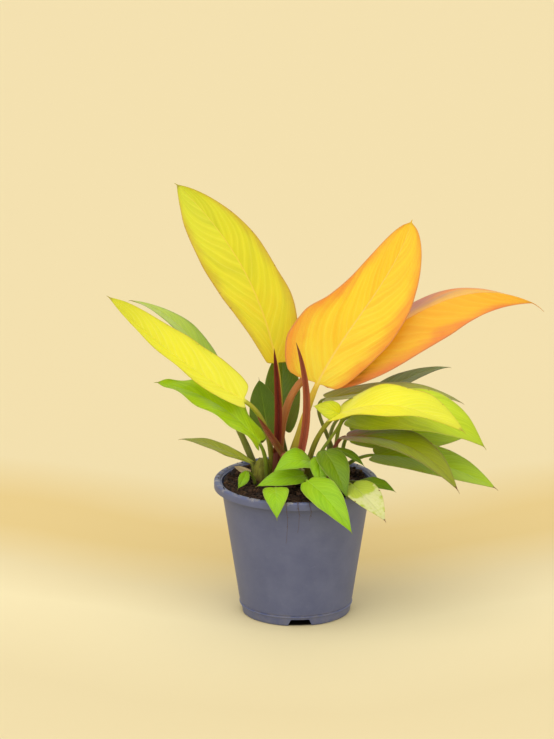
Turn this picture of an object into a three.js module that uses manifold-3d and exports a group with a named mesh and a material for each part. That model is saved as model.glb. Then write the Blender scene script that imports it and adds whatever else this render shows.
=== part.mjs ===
import * as THREE from "three";
import { mergeVertices } from "three/addons/utils/BufferGeometryUtils.js";
import Module from "manifold-3d";

const wasm = await Module();
wasm.setup();

// A philodendron in its nursery pot. Millimetres and degrees, +Z up.
// Until the last lines the origin is on the pot's axis at the ground, with -Y to the front.

// Pot
const potHeight = 100;
const rimRadius = 60;
const rimHeight = 5.8;
const rimTopWidth = 3.4;
const rimRound = 1.2;
const rimOverhang = 6;
const footShare = 0.67;
const footBand = 6.8;
const footRingWidth = 1.9;
const wallThickness = 1.2;
const floorHeight = 7;
const floorThickness = 1.5;
const notchWidth = 16;
const notchHeight = 5;
const notchTaper = 1.4;
const notchBearing = -86;
const drainHoleRadius = 4;
const drainHoleCircle = 25;
const potFacets = 40;

// Potting mix
const mixDrop = 4;
const mixBump = 1;
const mixBank = 2.8;

// Plant
const clearance = 0.3;
const bladeThickness = 0.9;
const stemDepth = 12;

const shoulderRadius = rimRadius - rimOverhang;
const footRadius = footShare * rimRadius;
const mixTop = potHeight - mixDrop;
const radians = THREE.MathUtils.degToRad;

// A point of the plant: x, y from the pot's axis and height above the potting mix.
function at(x, y, height) {
  return new THREE.Vector3(x, y, mixTop + height);
}

// A point past the rim: its bearing, how far out of the rim, and how far above the rim's top.
function pastRim(bearing, out, above) {
  const reach = rimRadius + out;
  const angle = radians(bearing);
  return new THREE.Vector3(reach * Math.cos(angle), reach * Math.sin(angle), potHeight + above);
}

// Solids

function solidOf(geometry) {
  const bare = geometry.clone();
  bare.deleteAttribute("normal");
  bare.deleteAttribute("uv");
  const merged = mergeVertices(bare, 1e-4);
  return new wasm.Manifold(
    new wasm.Mesh({
      numProp: 3,
      vertProperties: new Float32Array(merged.attributes.position.array),
      triVerts: new Uint32Array(merged.index.array),
    }),
  );
}

function geometryOf(solid) {
  const mesh = solid.getMesh();
  const geometry = new THREE.BufferGeometry();
  geometry.setAttribute("position", new THREE.BufferAttribute(mesh.vertProperties, 3));
  geometry.setIndex(new THREE.BufferAttribute(mesh.triVerts, 1));
  return geometry;
}

function largestBody(solid) {
  const bodies = solid.decompose();
  return bodies.reduce((best, body) => (body.volume() > best.volume() ? body : best));
}

// A closed body through rings of as many points each. Point i of a ring faces point n - 1 - i,
// so the two end rings close as strips, whether they are round or flat.
function loft(rings) {
  const count = rings[0].length;
  const corners = [];
  const face = (a, b, c, d) => corners.push(a, b, c, a, c, d);
  rings.slice(1).forEach((ring, row) => {
    const low = row * count;
    const high = low + count;
    for (let i = 0; i < count; i++) {
      const next = (i + 1) % count;
      face(low + i, low + next, high + next, high + i);
    }
  });
  const last = (rings.length - 1) * count;
  for (let i = 0; i + 1 < count / 2; i++) {
    face(count - 1 - i, count - 2 - i, i + 1, i);
    face(last + i, last + i + 1, last + count - 2 - i, last + count - 1 - i);
  }
  const geometry = new THREE.BufferGeometry().setFromPoints(rings.flat());
  geometry.setIndex(corners);
  return geometry;
}

// Blade outlines: share of the length from the base, and half width there as a share of the widest.
// A blade has one for its left half and one for its right, seen from its face with the tip up.
const oblong = [
  [0, 0.25],
  [0.03, 0.5],
  [0.08, 0.72],
  [0.16, 0.88],
  [0.28, 0.97],
  [0.42, 1],
  [0.56, 0.95],
  [0.7, 0.79],
  [0.82, 0.56],
  [0.91, 0.31],
  [0.97, 0.12],
  [1, 0.02],
];
const broad = [
  [0, 0.34],
  [0.03, 0.64],
  [0.08, 0.85],
  [0.16, 0.96],
  [0.26, 1],
  [0.4, 0.98],
  [0.55, 0.88],
  [0.7, 0.74],
  [0.82, 0.54],
  [0.91, 0.32],
  [0.97, 0.13],
  [1, 0.02],
];
const tapered = [
  [0, 0.2],
  [0.03, 0.28],
  [0.08, 0.4],
  [0.16, 0.56],
  [0.28, 0.77],
  [0.42, 0.95],
  [0.56, 1],
  [0.7, 0.9],
  [0.82, 0.71],
  [0.91, 0.42],
  [0.97, 0.17],
  [1, 0.02],
];
const waisted = [
  [0, 0.3],
  [0.03, 0.5],
  [0.08, 0.7],
  [0.16, 0.88],
  [0.28, 0.97],
  [0.42, 0.87],
  [0.56, 0.83],
  [0.7, 0.69],
  [0.82, 0.49],
  [0.91, 0.29],
  [0.97, 0.12],
  [1, 0.02],
];
const shouldered = [
  [0, 0.42],
  [0.03, 0.65],
  [0.08, 0.86],
  [0.16, 1],
  [0.28, 0.97],
  [0.42, 0.74],
  [0.56, 0.6],
  [0.7, 0.51],
  [0.82, 0.41],
  [0.91, 0.29],
  [0.97, 0.15],
  [1, 0.02],
];
const blunt = [
  [0, 0.26],
  [0.03, 0.4],
  [0.08, 0.53],
  [0.16, 0.64],
  [0.28, 0.75],
  [0.42, 0.82],
  [0.56, 0.79],
  [0.7, 0.66],
  [0.82, 0.49],
  [0.91, 0.32],
  [0.97, 0.16],
  [1, 0.02],
];
const hooked = [
  [0, 0.34],
  [0.03, 0.62],
  [0.08, 0.82],
  [0.16, 0.92],
  [0.28, 0.95],
  [0.42, 0.9],
  [0.56, 0.74],
  [0.7, 0.47],
  [0.82, 0.24],
  [0.91, 0.13],
  [0.97, 0.07],
  [1, 0.02],
];
const ovate = [
  [0, 0.2],
  [0.05, 0.55],
  [0.15, 0.88],
  [0.3, 1],
  [0.5, 0.9],
  [0.7, 0.62],
  [0.86, 0.32],
  [0.95, 0.12],
  [1, 0.03],
];
const lance = [
  [0, 0.2],
  [0.08, 0.5],
  [0.2, 0.8],
  [0.38, 1],
  [0.58, 0.93],
  [0.76, 0.62],
  [0.9, 0.28],
  [1, 0.03],
];
const spear = [
  [0, 0.95],
  [0.2, 1],
  [0.45, 0.92],
  [0.7, 0.72],
  [0.88, 0.42],
  [1, 0.06],
];

const bladeColumns = [-1, -0.5, 0, 0.5, 1];
const columns = bladeColumns.length;
const ribTaper = 0.85; // of the midrib's depth, lost by the tip
const lobeShare = 0.2; // of the blade's length, over which its base is swept back into lobes

// A leaf in one piece: a round stalk from its foot on the stem that opens into the blade, and a
// midrib that stands out below the blade and tapers to the tip.
function leafGeometry(leaf, grow = 0) {
  const chord = leaf.tip.clone().sub(leaf.base);
  const along = chord.clone().normalize();
  const across = along.clone().cross(new THREE.Vector3(...leaf.face)).normalize();
  const up = across.clone().cross(along);
  const control = (share, bow, sway) =>
    leaf.base.clone().addScaledVector(chord, share).addScaledVector(up, bow).addScaledVector(across, sway);
  const midrib = new THREE.CubicBezierCurve3(
    leaf.base,
    control(1 / 3, leaf.bow[0], leaf.sway[0]),
    control(2 / 3, leaf.bow[1], leaf.sway[1]),
    leaf.tip,
  );
  const reach = leaf.foot.distanceTo(leaf.base);
  const stalk = new THREE.CubicBezierCurve3(
    leaf.foot,
    leaf.foot.clone().addScaledVector(new THREE.Vector3(...leaf.rise).normalize(), 0.4 * reach),
    leaf.base.clone().addScaledVector(midrib.getTangent(0), -leaf.neck * reach),
    leaf.base,
  );
  const rings = [];
  const [footStalk, topStalk] = leaf.stalk;
  for (let step = 0; step < leaf.steps; step++) {
    const share = step / leaf.steps;
    const tangent = stalk.getTangent(share);
    const up0 = across.clone().cross(tangent).normalize();
    const side = tangent.clone().cross(up0);
    const radius = THREE.MathUtils.lerp(footStalk, topStalk, share) + grow;
    const centre = stalk.getPoint(share).addScaledVector(tangent, step === 0 ? -grow : 0);
    const ring = [];
    for (let i = 0; i < 2 * columns; i++) {
      const angle = Math.PI * (1 - (i + 0.5) / columns);
      ring.push(
        centre
          .clone()
          .addScaledVector(side, radius * Math.cos(angle))
          .addScaledVector(up0, radius * Math.sin(angle)),
      );
    }
    rings.push(ring);
  }
  const [leftOutline, rightOutline] = leaf.outline;
  leftOutline.forEach(([share, leftHalf], row) => {
    const rightHalf = rightOutline[row][1];
    const tangent = midrib.getTangent(share);
    const side = across.clone().applyAxisAngle(along, radians(leaf.twist * share));
    const normal = side.clone().cross(tangent).normalize();
    side.crossVectors(tangent, normal);
    const centre = midrib.getPoint(share).addScaledVector(tangent, share === 1 ? grow : 0);
    const swept = Math.max(0, 1 - share / lobeShare) ** 2;
    const surface = (v) => {
      const hand = v < 0 ? 0 : 1;
      const half = [leftHalf, rightHalf][hand];
      const bend = radians(leaf.fold[hand]);
      const out = Math.abs(v) * ((leaf.width / 2) * half + grow);
      const ripple = leaf.wave * v * v * Math.sin(2 * Math.PI * (leaf.waves * share + 0.25 * Math.sign(v)));
      return centre
        .clone()
        .addScaledVector(side, Math.sign(v) * out * Math.cos(bend))
        .addScaledVector(normal, out * Math.sin(bend) + ripple * Math.min(1, 4 * half))
        .addScaledVector(tangent, -swept * leaf.lobe[hand] * Math.abs(v) ** 1.5);
    };
    const thickness = bladeThickness / 2 + grow;
    const rib = topStalk * (1 - ribTaper * share);
    const top = bladeColumns.map((v) => surface(v).addScaledVector(normal, thickness));
    const keel = (v) => (v === 0 ? rib : 0);
    const under = bladeColumns.map((v) => surface(v).addScaledVector(normal, -thickness - keel(v)));
    rings.push([...top, ...under.reverse()]);
  });
  return loft(rings);
}

const bigLeaf = {
  outline: [oblong, oblong],
  steps: 6,
  rise: [0, 0, 1],
  neck: 0.3,
  stalk: [2.6, 1.7],
  bow: [0, 0],
  sway: [0, 0],
  twist: 0,
  fold: [12, 12],
  wave: 0,
  waves: 2,
  lobe: [6, 6],
};
const smallLeaf = { ...bigLeaf, outline: [ovate, ovate], steps: 4, stalk: [1.5, 0.9], lobe: [2, 2] };
const sheath = {
  ...bigLeaf,
  outline: [spear, spear],
  steps: 2,
  fold: [50, 50],
  lobe: [0, 0],
  stalk: [3.2, 2.6],
};

const leaves = [
  {
    ...bigLeaf,
    name: "leaf_upper_left",
    color: 0xe0dc2d,
    foot: at(-12, 21, 4),
    base: at(-14.5, 20, 86),
    tip: at(-87, 62, 210),
    face: [0, -1, 0.3],
    bow: [4, 8],
    sway: [17, 16],
    width: 51,
    outline: [tapered, waisted],
    lobe: [3, 5],
  },
  {
    ...bigLeaf,
    name: "leaf_upper_right",
    color: 0xfbc62e,
    foot: at(-8, 3, 5),
    base: at(15.5, 4, 75),
    tip: at(84, 44, 186),
    face: [0, -1, 0.3],
    bow: [4, 6],
    sway: [-4, 11],
    width: 74,
    stalk: [4.2, 1.9],
    outline: [shouldered, blunt],
    rise: [0.4, 0, 1],
    lobe: [6, 2],
  },
  {
    ...bigLeaf,
    name: "leaf_right",
    color: 0xf4a53a,
    foot: at(-13, 10, 5),
    base: at(14, 14, 81),
    tip: at(174, 50, 124),
    face: [0, -0.9, 1],
    bow: [6, 44],
    fold: [-50, -20],
    width: 54,
    sway: [-1, -27],
    lobe: [3, 3],
    stalk: [3.6, 2.5],
  },
  {
    ...bigLeaf,
    name: "leaf_left",
    color: 0xf0ea33,
    foot: at(-17, 8, 4),
    base: at(-38, -5, 65),
    tip: at(-133, -40, 151),
    face: [0.3, -0.6, 1],
    bow: [-4, -4],
    fold: [24, 30],
    width: 38,
    sway: [-4, -4],
    outline: [broad, broad],
    lobe: [3, 4],
  },
  {
    ...bigLeaf,
    name: "leaf_front_right",
    color: 0xf7ed41,
    foot: at(8, 0, 4),
    base: at(31, -6, 55),
    tip: at(118, -62, 59),
    face: [0, -0.4, 1],
    bow: [18, 20],
    width: 44,
    outline: [broad, hooked],
    lobe: [9, 7],
  },
  {
    ...bigLeaf,
    name: "leaf_left_behind",
    color: 0xb9c34e,
    outline: [lance, lance],
    foot: at(-28, 15, 2),
    base: at(-48, 22, 50),
    tip: at(-121, 60, 123),
    face: [0, 0, 1],
    bow: [16, 26],
    width: 26,
    stalk: [3, 2.2],
    rise: [-0.3, 0, 1],
  },
  {
    ...bigLeaf,
    name: "leaf_left_wavy",
    color: 0x9ec01a,
    foot: at(-21, -4, 2),
    base: at(-27, -8, 34),
    tip: at(-100, -14, 81),
    face: [0, -0.4, 1],
    bow: [14, 14],
    width: 32,
    wave: 2,
    waves: 3,
    stalk: [2.2, 1.3],
  },
  {
    ...bigLeaf,
    name: "leaf_back_left",
    color: 0x72901a,
    foot: at(-18, 24, 2),
    base: at(-20, 26, 28),
    tip: at(-27, 38, 68),
    face: [0, -1, 0.3],
    width: 24,
    stalk: [2, 1.2],
    outline: [broad, broad],
  },
  {
    ...bigLeaf,
    name: "leaf_back_middle",
    color: 0x757d19,
    foot: at(-6, 26, 2),
    base: at(-10, 31, 33),
    tip: at(-10, 54, 89),
    face: [0, -1, 0.3],
    width: 27,
    stalk: [2, 1.2],
  },
  {
    ...bigLeaf,
    name: "leaf_far_left",
    color: 0xa9ab6b,
    outline: [lance, lance],
    foot: at(-31, 6, 2),
    base: at(-34, 7, 15),
    tip: at(-84, 24, 27),
    face: [0, -0.3, 1],
    bow: [2, 6],
    width: 12,
    stalk: [1.8, 1],
  },
  {
    ...bigLeaf,
    name: "leaf_back_right_high",
    color: 0x8a8a3c,
    outline: [lance, lance],
    foot: at(24, 15, 2),
    base: at(34, 34, 42),
    tip: at(113, 60, 72),
    face: [0, -0.3, 1],
    bow: [4, 12],
    width: 18,
    stalk: [2, 1.2],
  },
  {
    ...bigLeaf,
    name: "leaf_back_right_low",
    color: 0xa4a544,
    foot: at(31, 17, 2),
    base: at(22, 17, 60),
    tip: at(120, 8, 60),
    face: [0, -0.1, 1],
    bow: [7, 13],
    width: 26,
    stalk: [2, 1.2],
  },
  {
    ...bigLeaf,
    name: "leaf_right_lime",
    color: 0xc4d519,
    foot: at(29, 5, 2),
    base: at(40, 9, 49),
    tip: at(136, -18, 34),
    face: [0, -0.6, 1],
    bow: [14, 38],
    width: 44,
    stalk: [2, 1.3],
  },
  {
    ...bigLeaf,
    name: "leaf_right_green",
    color: 0x839b05,
    foot: at(34, 7, 2),
    base: at(42, 19, 32),
    tip: at(125, 24, 29),
    face: [0, -0.8, 1],
    bow: [4, 4],
    width: 34,
    stalk: [2, 1.2],
  },
  {
    ...bigLeaf,
    name: "leaf_right_lower",
    color: 0x8aae1e,
    foot: at(30, -4, 2),
    base: at(57, -6, 24),
    tip: at(144, -22, 4),
    face: [0, -0.4, 1],
    bow: [10, 10],
    width: 34,
    stalk: [2, 1.1],
  },
  {
    ...bigLeaf,
    name: "leaf_right_red",
    color: 0xa0582a,
    foot: at(24, -2, 2),
    base: at(36, -3, 37),
    tip: at(115, -58, 14),
    face: [0, -0.2, 1],
    bow: [16, 26],
    width: 32,
    stalk: [2.2, 1.3],
  },
  {
    ...smallLeaf,
    name: "leaf_small_lime",
    color: 0xd0dc3c,
    foot: at(10, -6, 3),
    base: at(31, -9, 56),
    tip: at(13, -13, 63),
    face: [0, -1, 0.6],
    bow: [4, 2],
    width: 15,
  },
  {
    ...smallLeaf,
    name: "leaf_small_middle",
    color: 0x8ebd17,
    foot: at(12, -10, 2),
    base: at(11, -14, 21),
    tip: at(-16, -34, 20),
    face: [0, -0.7, 1],
    bow: [8, 8],
    width: 22,
  },
  {
    ...smallLeaf,
    name: "leaf_small_low",
    color: 0x7ea916,
    foot: at(8, -16, 1),
    base: at(6, -18, 12),
    tip: at(-28, -34, 9),
    face: [0, -0.7, 1],
    bow: [3, 3],
    width: 18,
  },
  {
    ...smallLeaf,
    name: "leaf_small_rim_left",
    color: 0x99c927,
    foot: at(-9, -27, 1),
    base: at(-15, -42, 10),
    tip: pastRim(-101, 13, -7.5),
    face: [0, -1, 0.6],
    bow: [6, 7],
    width: 19,
    rise: [-0.3, -1, 0.6],
  },
  {
    ...smallLeaf,
    name: "leaf_small_rim_middle",
    color: 0x9ecd10,
    foot: at(12, -23, 1),
    base: at(8, -38, 14),
    tip: pastRim(-63, 26, -16),
    face: [0.2, -1, 0.8],
    bow: [9, 9],
    width: 24,
  },
  {
    ...smallLeaf,
    name: "leaf_small_upright",
    color: 0x8ab517,
    foot: at(18, -14, 1),
    base: at(16, -20, 26),
    tip: at(18, -40, 9),
    face: [0, -1, 1],
    bow: [3, 4],
    width: 14,
  },
  {
    ...smallLeaf,
    name: "leaf_small_right",
    color: 0x7a9b05,
    foot: at(20, -10, 1),
    base: at(21, -16, 30),
    tip: at(36, -52, 6.5),
    face: [0.2, -1, 1],
    bow: [5, 6],
    width: 22,
  },
  {
    ...smallLeaf,
    name: "leaf_small_rim_right",
    color: 0xd5d571,
    foot: at(28, -18, 1),
    base: at(40, -34, 10),
    tip: pastRim(-46, 31, -11),
    face: [0.3, -1, 1],
    bow: [4, 5],
    width: 24,
  },
  {
    ...smallLeaf,
    name: "leaf_small_edge",
    color: 0x5c7a12,
    outline: [lance, lance],
    foot: at(34, -12, 1),
    base: at(46, -20, 8),
    tip: at(71, -34, 5),
    face: [0, -0.4, 1],
    bow: [3, 3],
    width: 12,
  },
  {
    ...smallLeaf,
    name: "leaf_small_on_mix",
    color: 0x8aa02a,
    outline: [lance, lance],
    foot: at(-30, -4, 1),
    base: at(-36, -10, 12),
    tip: at(-42, -20, 3),
    face: [0.3, -1, 0.6],
    bow: [2, 2],
    width: 8,
    stalk: [1.2, 0.8],
  },
  {
    ...smallLeaf,
    name: "leaf_small_dark",
    color: 0x5c7a12,
    outline: [lance, lance],
    foot: at(27, -7, 2),
    base: at(29, -11, 30),
    tip: at(49, -16, 19),
    face: [0, -0.4, 1],
    bow: [3, 3],
    width: 8,
    stalk: [1.2, 0.8],
  },
  {
    ...sheath,
    name: "sheath_tall_left",
    color: 0x7b3018,
    foot: at(-15, -1, 3),
    base: at(-14, 1, 24),
    tip: at(-16, 9, 100),
    face: [0, -1, 0.2],
    width: 9,
    sway: [3, 2],
    stalk: [2.6, 2.4],
  },
  {
    ...sheath,
    name: "sheath_tall_right",
    color: 0xb26944,
    foot: at(0, -7, 3),
    base: at(3, -8, 26),
    tip: at(0, -4, 108),
    face: [0, -1, 0.2],
    width: 9,
    sway: [8, 8],
  },
  {
    ...sheath,
    name: "sheath_short",
    color: 0x8e6039,
    foot: at(-7, -4, 3),
    base: at(-10, -4, 25),
    tip: at(-28, -9, 54),
    face: [0, -1, 0.2],
    width: 8,
  },
  {
    ...sheath,
    name: "sheath_dry",
    color: 0xc9b48a,
    foot: at(-31, 1, 4),
    base: at(-34, 2, 7),
    tip: at(-45, 4, 12),
    face: [0, -1, 1],
    fold: [25, 25],
    width: 6,
    stalk: [1.2, 1],
  },
];

// The stems that the leaves grow from: short, ringed, and rooted in the mix.
const stems = [
  { name: "stem_middle", x: -1, y: 9, radius: 12, height: 9, color: 0x6b6a22 },
  { name: "stem_left", x: -24, y: 7, radius: 8.5, height: 17, color: 0x6a5a2a },
  { name: "stem_right", x: 26, y: 2, radius: 9, height: 8, color: 0x5f5f20 },
];

function stemGeometry(stem, grow = 0) {
  const profile = [
    [0, -stemDepth - grow],
    [0.6 * stem.radius + grow, -stemDepth - grow],
    [stem.radius + grow, -0.3 * stemDepth],
    [stem.radius + grow, 0.3 * stem.height],
    [0.86 * stem.radius + grow, 0.75 * stem.height],
    [0.6 * stem.radius + grow, stem.height + grow],
    [0, stem.height + grow],
  ];
  return turned(profile, 12).translate(stem.x, stem.y, mixTop);
}

// A body of revolution about Z from radius and height pairs, bottom axis point first.
function turned(profile, facets) {
  const points = profile.map(([radius, height]) => new THREE.Vector2(radius, height));
  return new THREE.LatheGeometry(points, facets).rotateX(Math.PI / 2);
}

// The pot: raised floor on a foot ring, straight wall, and a lip turned out and down.
const innerShoulder = shoulderRadius - wallThickness;
const bandRadius = footRadius + 1;
const bandGroove = 0.6;
const innerFloorRadius = bandRadius + 0.2 - wallThickness;
const rimUnder = potHeight - rimHeight;
const rimInner = rimRadius - rimTopWidth;

function potGeometry() {
  const profile = [
    [0, floorHeight],
    [footRadius - footRingWidth, floorHeight],
    [footRadius - footRingWidth, 0],
    [footRadius - bandGroove, 0],
    [footRadius, bandGroove],
    [bandRadius, footBand],
    [bandRadius - bandGroove, footBand + bandGroove],
    [bandRadius + 0.2, footBand + 2 * bandGroove],
    [shoulderRadius, rimUnder],
    [shoulderRadius + 0.3, potHeight - rimRound - 0.2],
    [rimRadius - rimRound, potHeight - rimRound - 0.2],
    [rimRadius - rimRound, rimUnder],
    [rimRadius, rimUnder],
    [rimRadius, potHeight - rimRound],
    [rimRadius - 0.35 * rimRound, potHeight - 0.35 * rimRound],
    [rimRadius - rimRound, potHeight],
    [rimInner, potHeight],
    [rimInner - 0.8, potHeight - 0.5],
    [innerShoulder, rimUnder],
    [innerFloorRadius, floorHeight + floorThickness],
    [0, floorHeight + floorThickness],
  ];
  return turned(profile, potFacets);
}

// A wedge that cuts one drainage notch through the foot ring.
function notchGeometry(bearing) {
  const outline = new THREE.Shape([
    new THREE.Vector2(-notchWidth / 2 - notchTaper, -1),
    new THREE.Vector2(notchWidth / 2 + notchTaper, -1),
    new THREE.Vector2(notchWidth / 2 - notchTaper / 2, notchHeight),
    new THREE.Vector2(-notchWidth / 2 + notchTaper / 2, notchHeight),
  ]);
  const depth = 3 * footRingWidth;
  return new THREE.ExtrudeGeometry(outline, { depth, bevelEnabled: false })
    .rotateX(Math.PI / 2)
    .translate(0, -footRadius + 2 * footRingWidth, 0)
    .rotateZ(radians(bearing + 90));
}

function pot() {
  let solid = solidOf(potGeometry());
  for (let turn = 0; turn < 4; turn++) {
    solid = solid.subtract(solidOf(notchGeometry(notchBearing + 90 * turn)));
    const angle = radians(notchBearing + 45 + 90 * turn);
    const hole = new THREE.CylinderGeometry(drainHoleRadius, drainHoleRadius, 4 * floorThickness, 16)
      .rotateX(Math.PI / 2)
      .translate(drainHoleCircle * Math.cos(angle), drainHoleCircle * Math.sin(angle), floorHeight);
    solid = solid.subtract(solidOf(hole));
  }
  return solid;
}

// The mix fills the pot and its top is uneven.
function mixGeometry() {
  const bottom = floorHeight + floorThickness + clearance;
  const profile = [
    [0, bottom],
    [innerFloorRadius - 1.2 * clearance, bottom],
    [innerShoulder - 1.2 * clearance, rimUnder],
    [innerShoulder, mixTop + mixBank - 0.5],
    [innerShoulder - 1, mixTop + mixBank],
    [0.9 * innerShoulder, mixTop],
    [0.74 * innerShoulder, mixTop],
    [0.56 * innerShoulder, mixTop],
    [0.38 * innerShoulder, mixTop],
    [0.2 * innerShoulder, mixTop],
    [0, mixTop],
  ];
  const geometry = turned(profile, 36);
  const place = geometry.attributes.position;
  for (let i = 0; i < place.count; i++) {
    const x = place.getX(i);
    const y = place.getY(i);
    if (place.getZ(i) === Math.fround(mixTop)) {
      place.setZ(i, mixTop + mixBump * Math.sin(0.21 * x + 1) * Math.cos(0.17 * y - 0.6));
    }
  }
  return geometry;
}

// Root hairs that lie over the rim and hang down the front of the pot.
const fibreRadius = 0.35;
const fibres = [
  { name: "root_fibre_left", bearing: -97, drop: 30 },
  { name: "root_fibre_middle", bearing: -89, drop: 22 },
  { name: "root_fibre_right", bearing: -81, drop: 13 },
];

function fibreGeometry(fibre, grow = 0) {
  const gap = fibreRadius + 1.5 * clearance;
  const bank = -rimOverhang - wallThickness - 1;
  const path = new THREE.CatmullRomCurve3([
    pastRim(fibre.bearing - 3, bank - 1.5, -mixDrop + mixBank),
    pastRim(fibre.bearing - 2, -rimTopWidth - 1, gap),
    pastRim(fibre.bearing, -rimRound, gap),
    pastRim(fibre.bearing, gap, -rimRound),
    pastRim(fibre.bearing + 1, gap, -0.5 * fibre.drop),
    pastRim(fibre.bearing, gap, -fibre.drop),
  ]);
  const section = new THREE.Shape().absarc(0, 0, fibreRadius + grow, 0, 2 * Math.PI);
  return new THREE.ExtrudeGeometry(section, {
    steps: 14,
    curveSegments: 3,
    extrudePath: path,
    bevelEnabled: false,
  });
}

// Everything, in the order in which a later piece gives way to an earlier one.
const pieces = [
  { name: "pot", color: 0x666778, roughness: 0.55, solid: pot() },
  ...stems.map((stem) => ({
    name: stem.name,
    color: stem.color,
    solid: solidOf(stemGeometry(stem)),
    room: solidOf(stemGeometry(stem, clearance)),
  })),
  ...leaves.map((leaf) => ({
    name: leaf.name,
    color: leaf.color,
    solid: solidOf(leafGeometry(leaf)),
    room: solidOf(leafGeometry(leaf, clearance)),
  })),
  ...fibres.map((fibre) => ({
    name: fibre.name,
    color: 0x8a6a4a,
    roughness: 0.8,
    solid: solidOf(fibreGeometry(fibre)),
    room: solidOf(fibreGeometry(fibre, clearance)),
  })),
  { name: "potting_mix", color: 0x382a21, roughness: 0.95, solid: solidOf(mixGeometry()) },
];

// A piece is cut back by the clearance where it would run into a piece before it.
function fitted(piece, index) {
  let solid = piece.solid;
  for (const other of pieces.slice(0, index)) {
    if (other.room && solid.intersect(other.room).volume() > 0) {
      solid = solid.subtract(other.room);
    }
  }
  return solid === piece.solid ? solid : largestBody(solid);
}

const group = new THREE.Group();
pieces.forEach((piece, index) => {
  const { name, color, roughness = 0.45 } = piece;
  const material = new THREE.MeshStandardMaterial({ color, roughness, metalness: 0 });
  const mesh = new THREE.Mesh(geometryOf(fitted(piece, index)), material);
  mesh.name = name;
  group.add(mesh);
});

// The part's own origin is under the middle of its box, on the ground.
const box = new THREE.Box3().setFromObject(group);
const middle = box.getCenter(new THREE.Vector3());
group.position.set(-Math.round(middle.x), -Math.round(middle.y), 0);

export default group;
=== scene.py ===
import math
import random

import bpy
import numpy as np
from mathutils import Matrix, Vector, noise


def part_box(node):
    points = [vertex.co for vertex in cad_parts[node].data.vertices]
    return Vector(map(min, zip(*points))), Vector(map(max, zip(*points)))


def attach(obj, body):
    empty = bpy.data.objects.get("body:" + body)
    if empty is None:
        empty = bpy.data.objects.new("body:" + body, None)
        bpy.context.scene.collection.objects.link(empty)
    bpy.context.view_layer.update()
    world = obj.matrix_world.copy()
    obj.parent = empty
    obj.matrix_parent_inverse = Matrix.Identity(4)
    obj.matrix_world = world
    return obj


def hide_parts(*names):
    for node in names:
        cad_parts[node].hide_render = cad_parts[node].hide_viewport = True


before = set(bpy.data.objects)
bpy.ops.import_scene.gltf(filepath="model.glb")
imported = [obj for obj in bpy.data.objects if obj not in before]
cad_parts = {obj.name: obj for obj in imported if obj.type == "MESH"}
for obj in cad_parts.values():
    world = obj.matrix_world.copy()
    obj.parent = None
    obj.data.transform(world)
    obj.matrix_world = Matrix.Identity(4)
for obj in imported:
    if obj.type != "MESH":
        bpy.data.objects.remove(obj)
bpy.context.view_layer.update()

# Everything is measured from the pot: its axis, the top of its rim, and the mix a little below.
potLow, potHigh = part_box("pot")
axisX = (potLow.x + potHigh.x) / 2
axisY = (potLow.y + potHigh.y) / 2
rimTop = potHigh.z
rimRadius = (potHigh.x - potLow.x) / 2
mm = 0.001
mixDrop = 4 * mm
mixTop = rimTop - mixDrop

scene = bpy.context.scene
scene.view_settings.view_transform = "Standard"


def at(x, y, height):
    # millimetres from the pot's axis and above the potting mix
    return np.array([axisX + x * mm, axisY + y * mm, mixTop + height * mm])


def pastRim(bearing, out, above):
    # a bearing in degrees, and millimetres out of the rim and above it
    reach = rimRadius + out * mm
    angle = math.radians(bearing)
    x, y = reach * math.cos(angle), reach * math.sin(angle)
    return np.array([axisX + x, axisY + y, rimTop + above * mm])


def paint(red, green, blue):
    # a colour as a paint chart gives it, 0 to 255, made linear
    def linear(part):
        part = part / 255
        return part / 12.92 if part <= 0.04045 else ((part + 0.055) / 1.055) ** 2.4

    return (linear(red), linear(green), linear(blue), 1)


class Wire:
    # a socket that takes part in sums as a number would
    def __init__(self, finish, socket):
        self.finish = finish
        self.socket = socket

    def out(self, name):
        return Wire(self.finish, self.socket.node.outputs[name])

    def maths(self, operation, *values):
        return self.finish.node("ShaderNodeMath", {"operation": operation}, dict(enumerate(values)))

    def __add__(self, other):
        return self.maths("ADD", self, other)

    def __radd__(self, other):
        return self.maths("ADD", other, self)

    def __sub__(self, other):
        return self.maths("SUBTRACT", self, other)

    def __rsub__(self, other):
        return self.maths("SUBTRACT", other, self)

    def __mul__(self, other):
        return self.maths("MULTIPLY", self, other)

    def __rmul__(self, other):
        return self.maths("MULTIPLY", other, self)

    def __truediv__(self, other):
        return self.maths("DIVIDE", self, other)

    def __pow__(self, other):
        return self.maths("POWER", self, other)

    def __abs__(self):
        return self.maths("ABSOLUTE", self)

    def scaled(self, vector):
        return self.finish.node("ShaderNodeVectorMath", {"operation": "MULTIPLY"}, {0: self, 1: vector})

    def sine(self):
        return self.maths("SINE", self)

    def larger(self, other):
        return self.maths("MAXIMUM", self, other)


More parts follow.
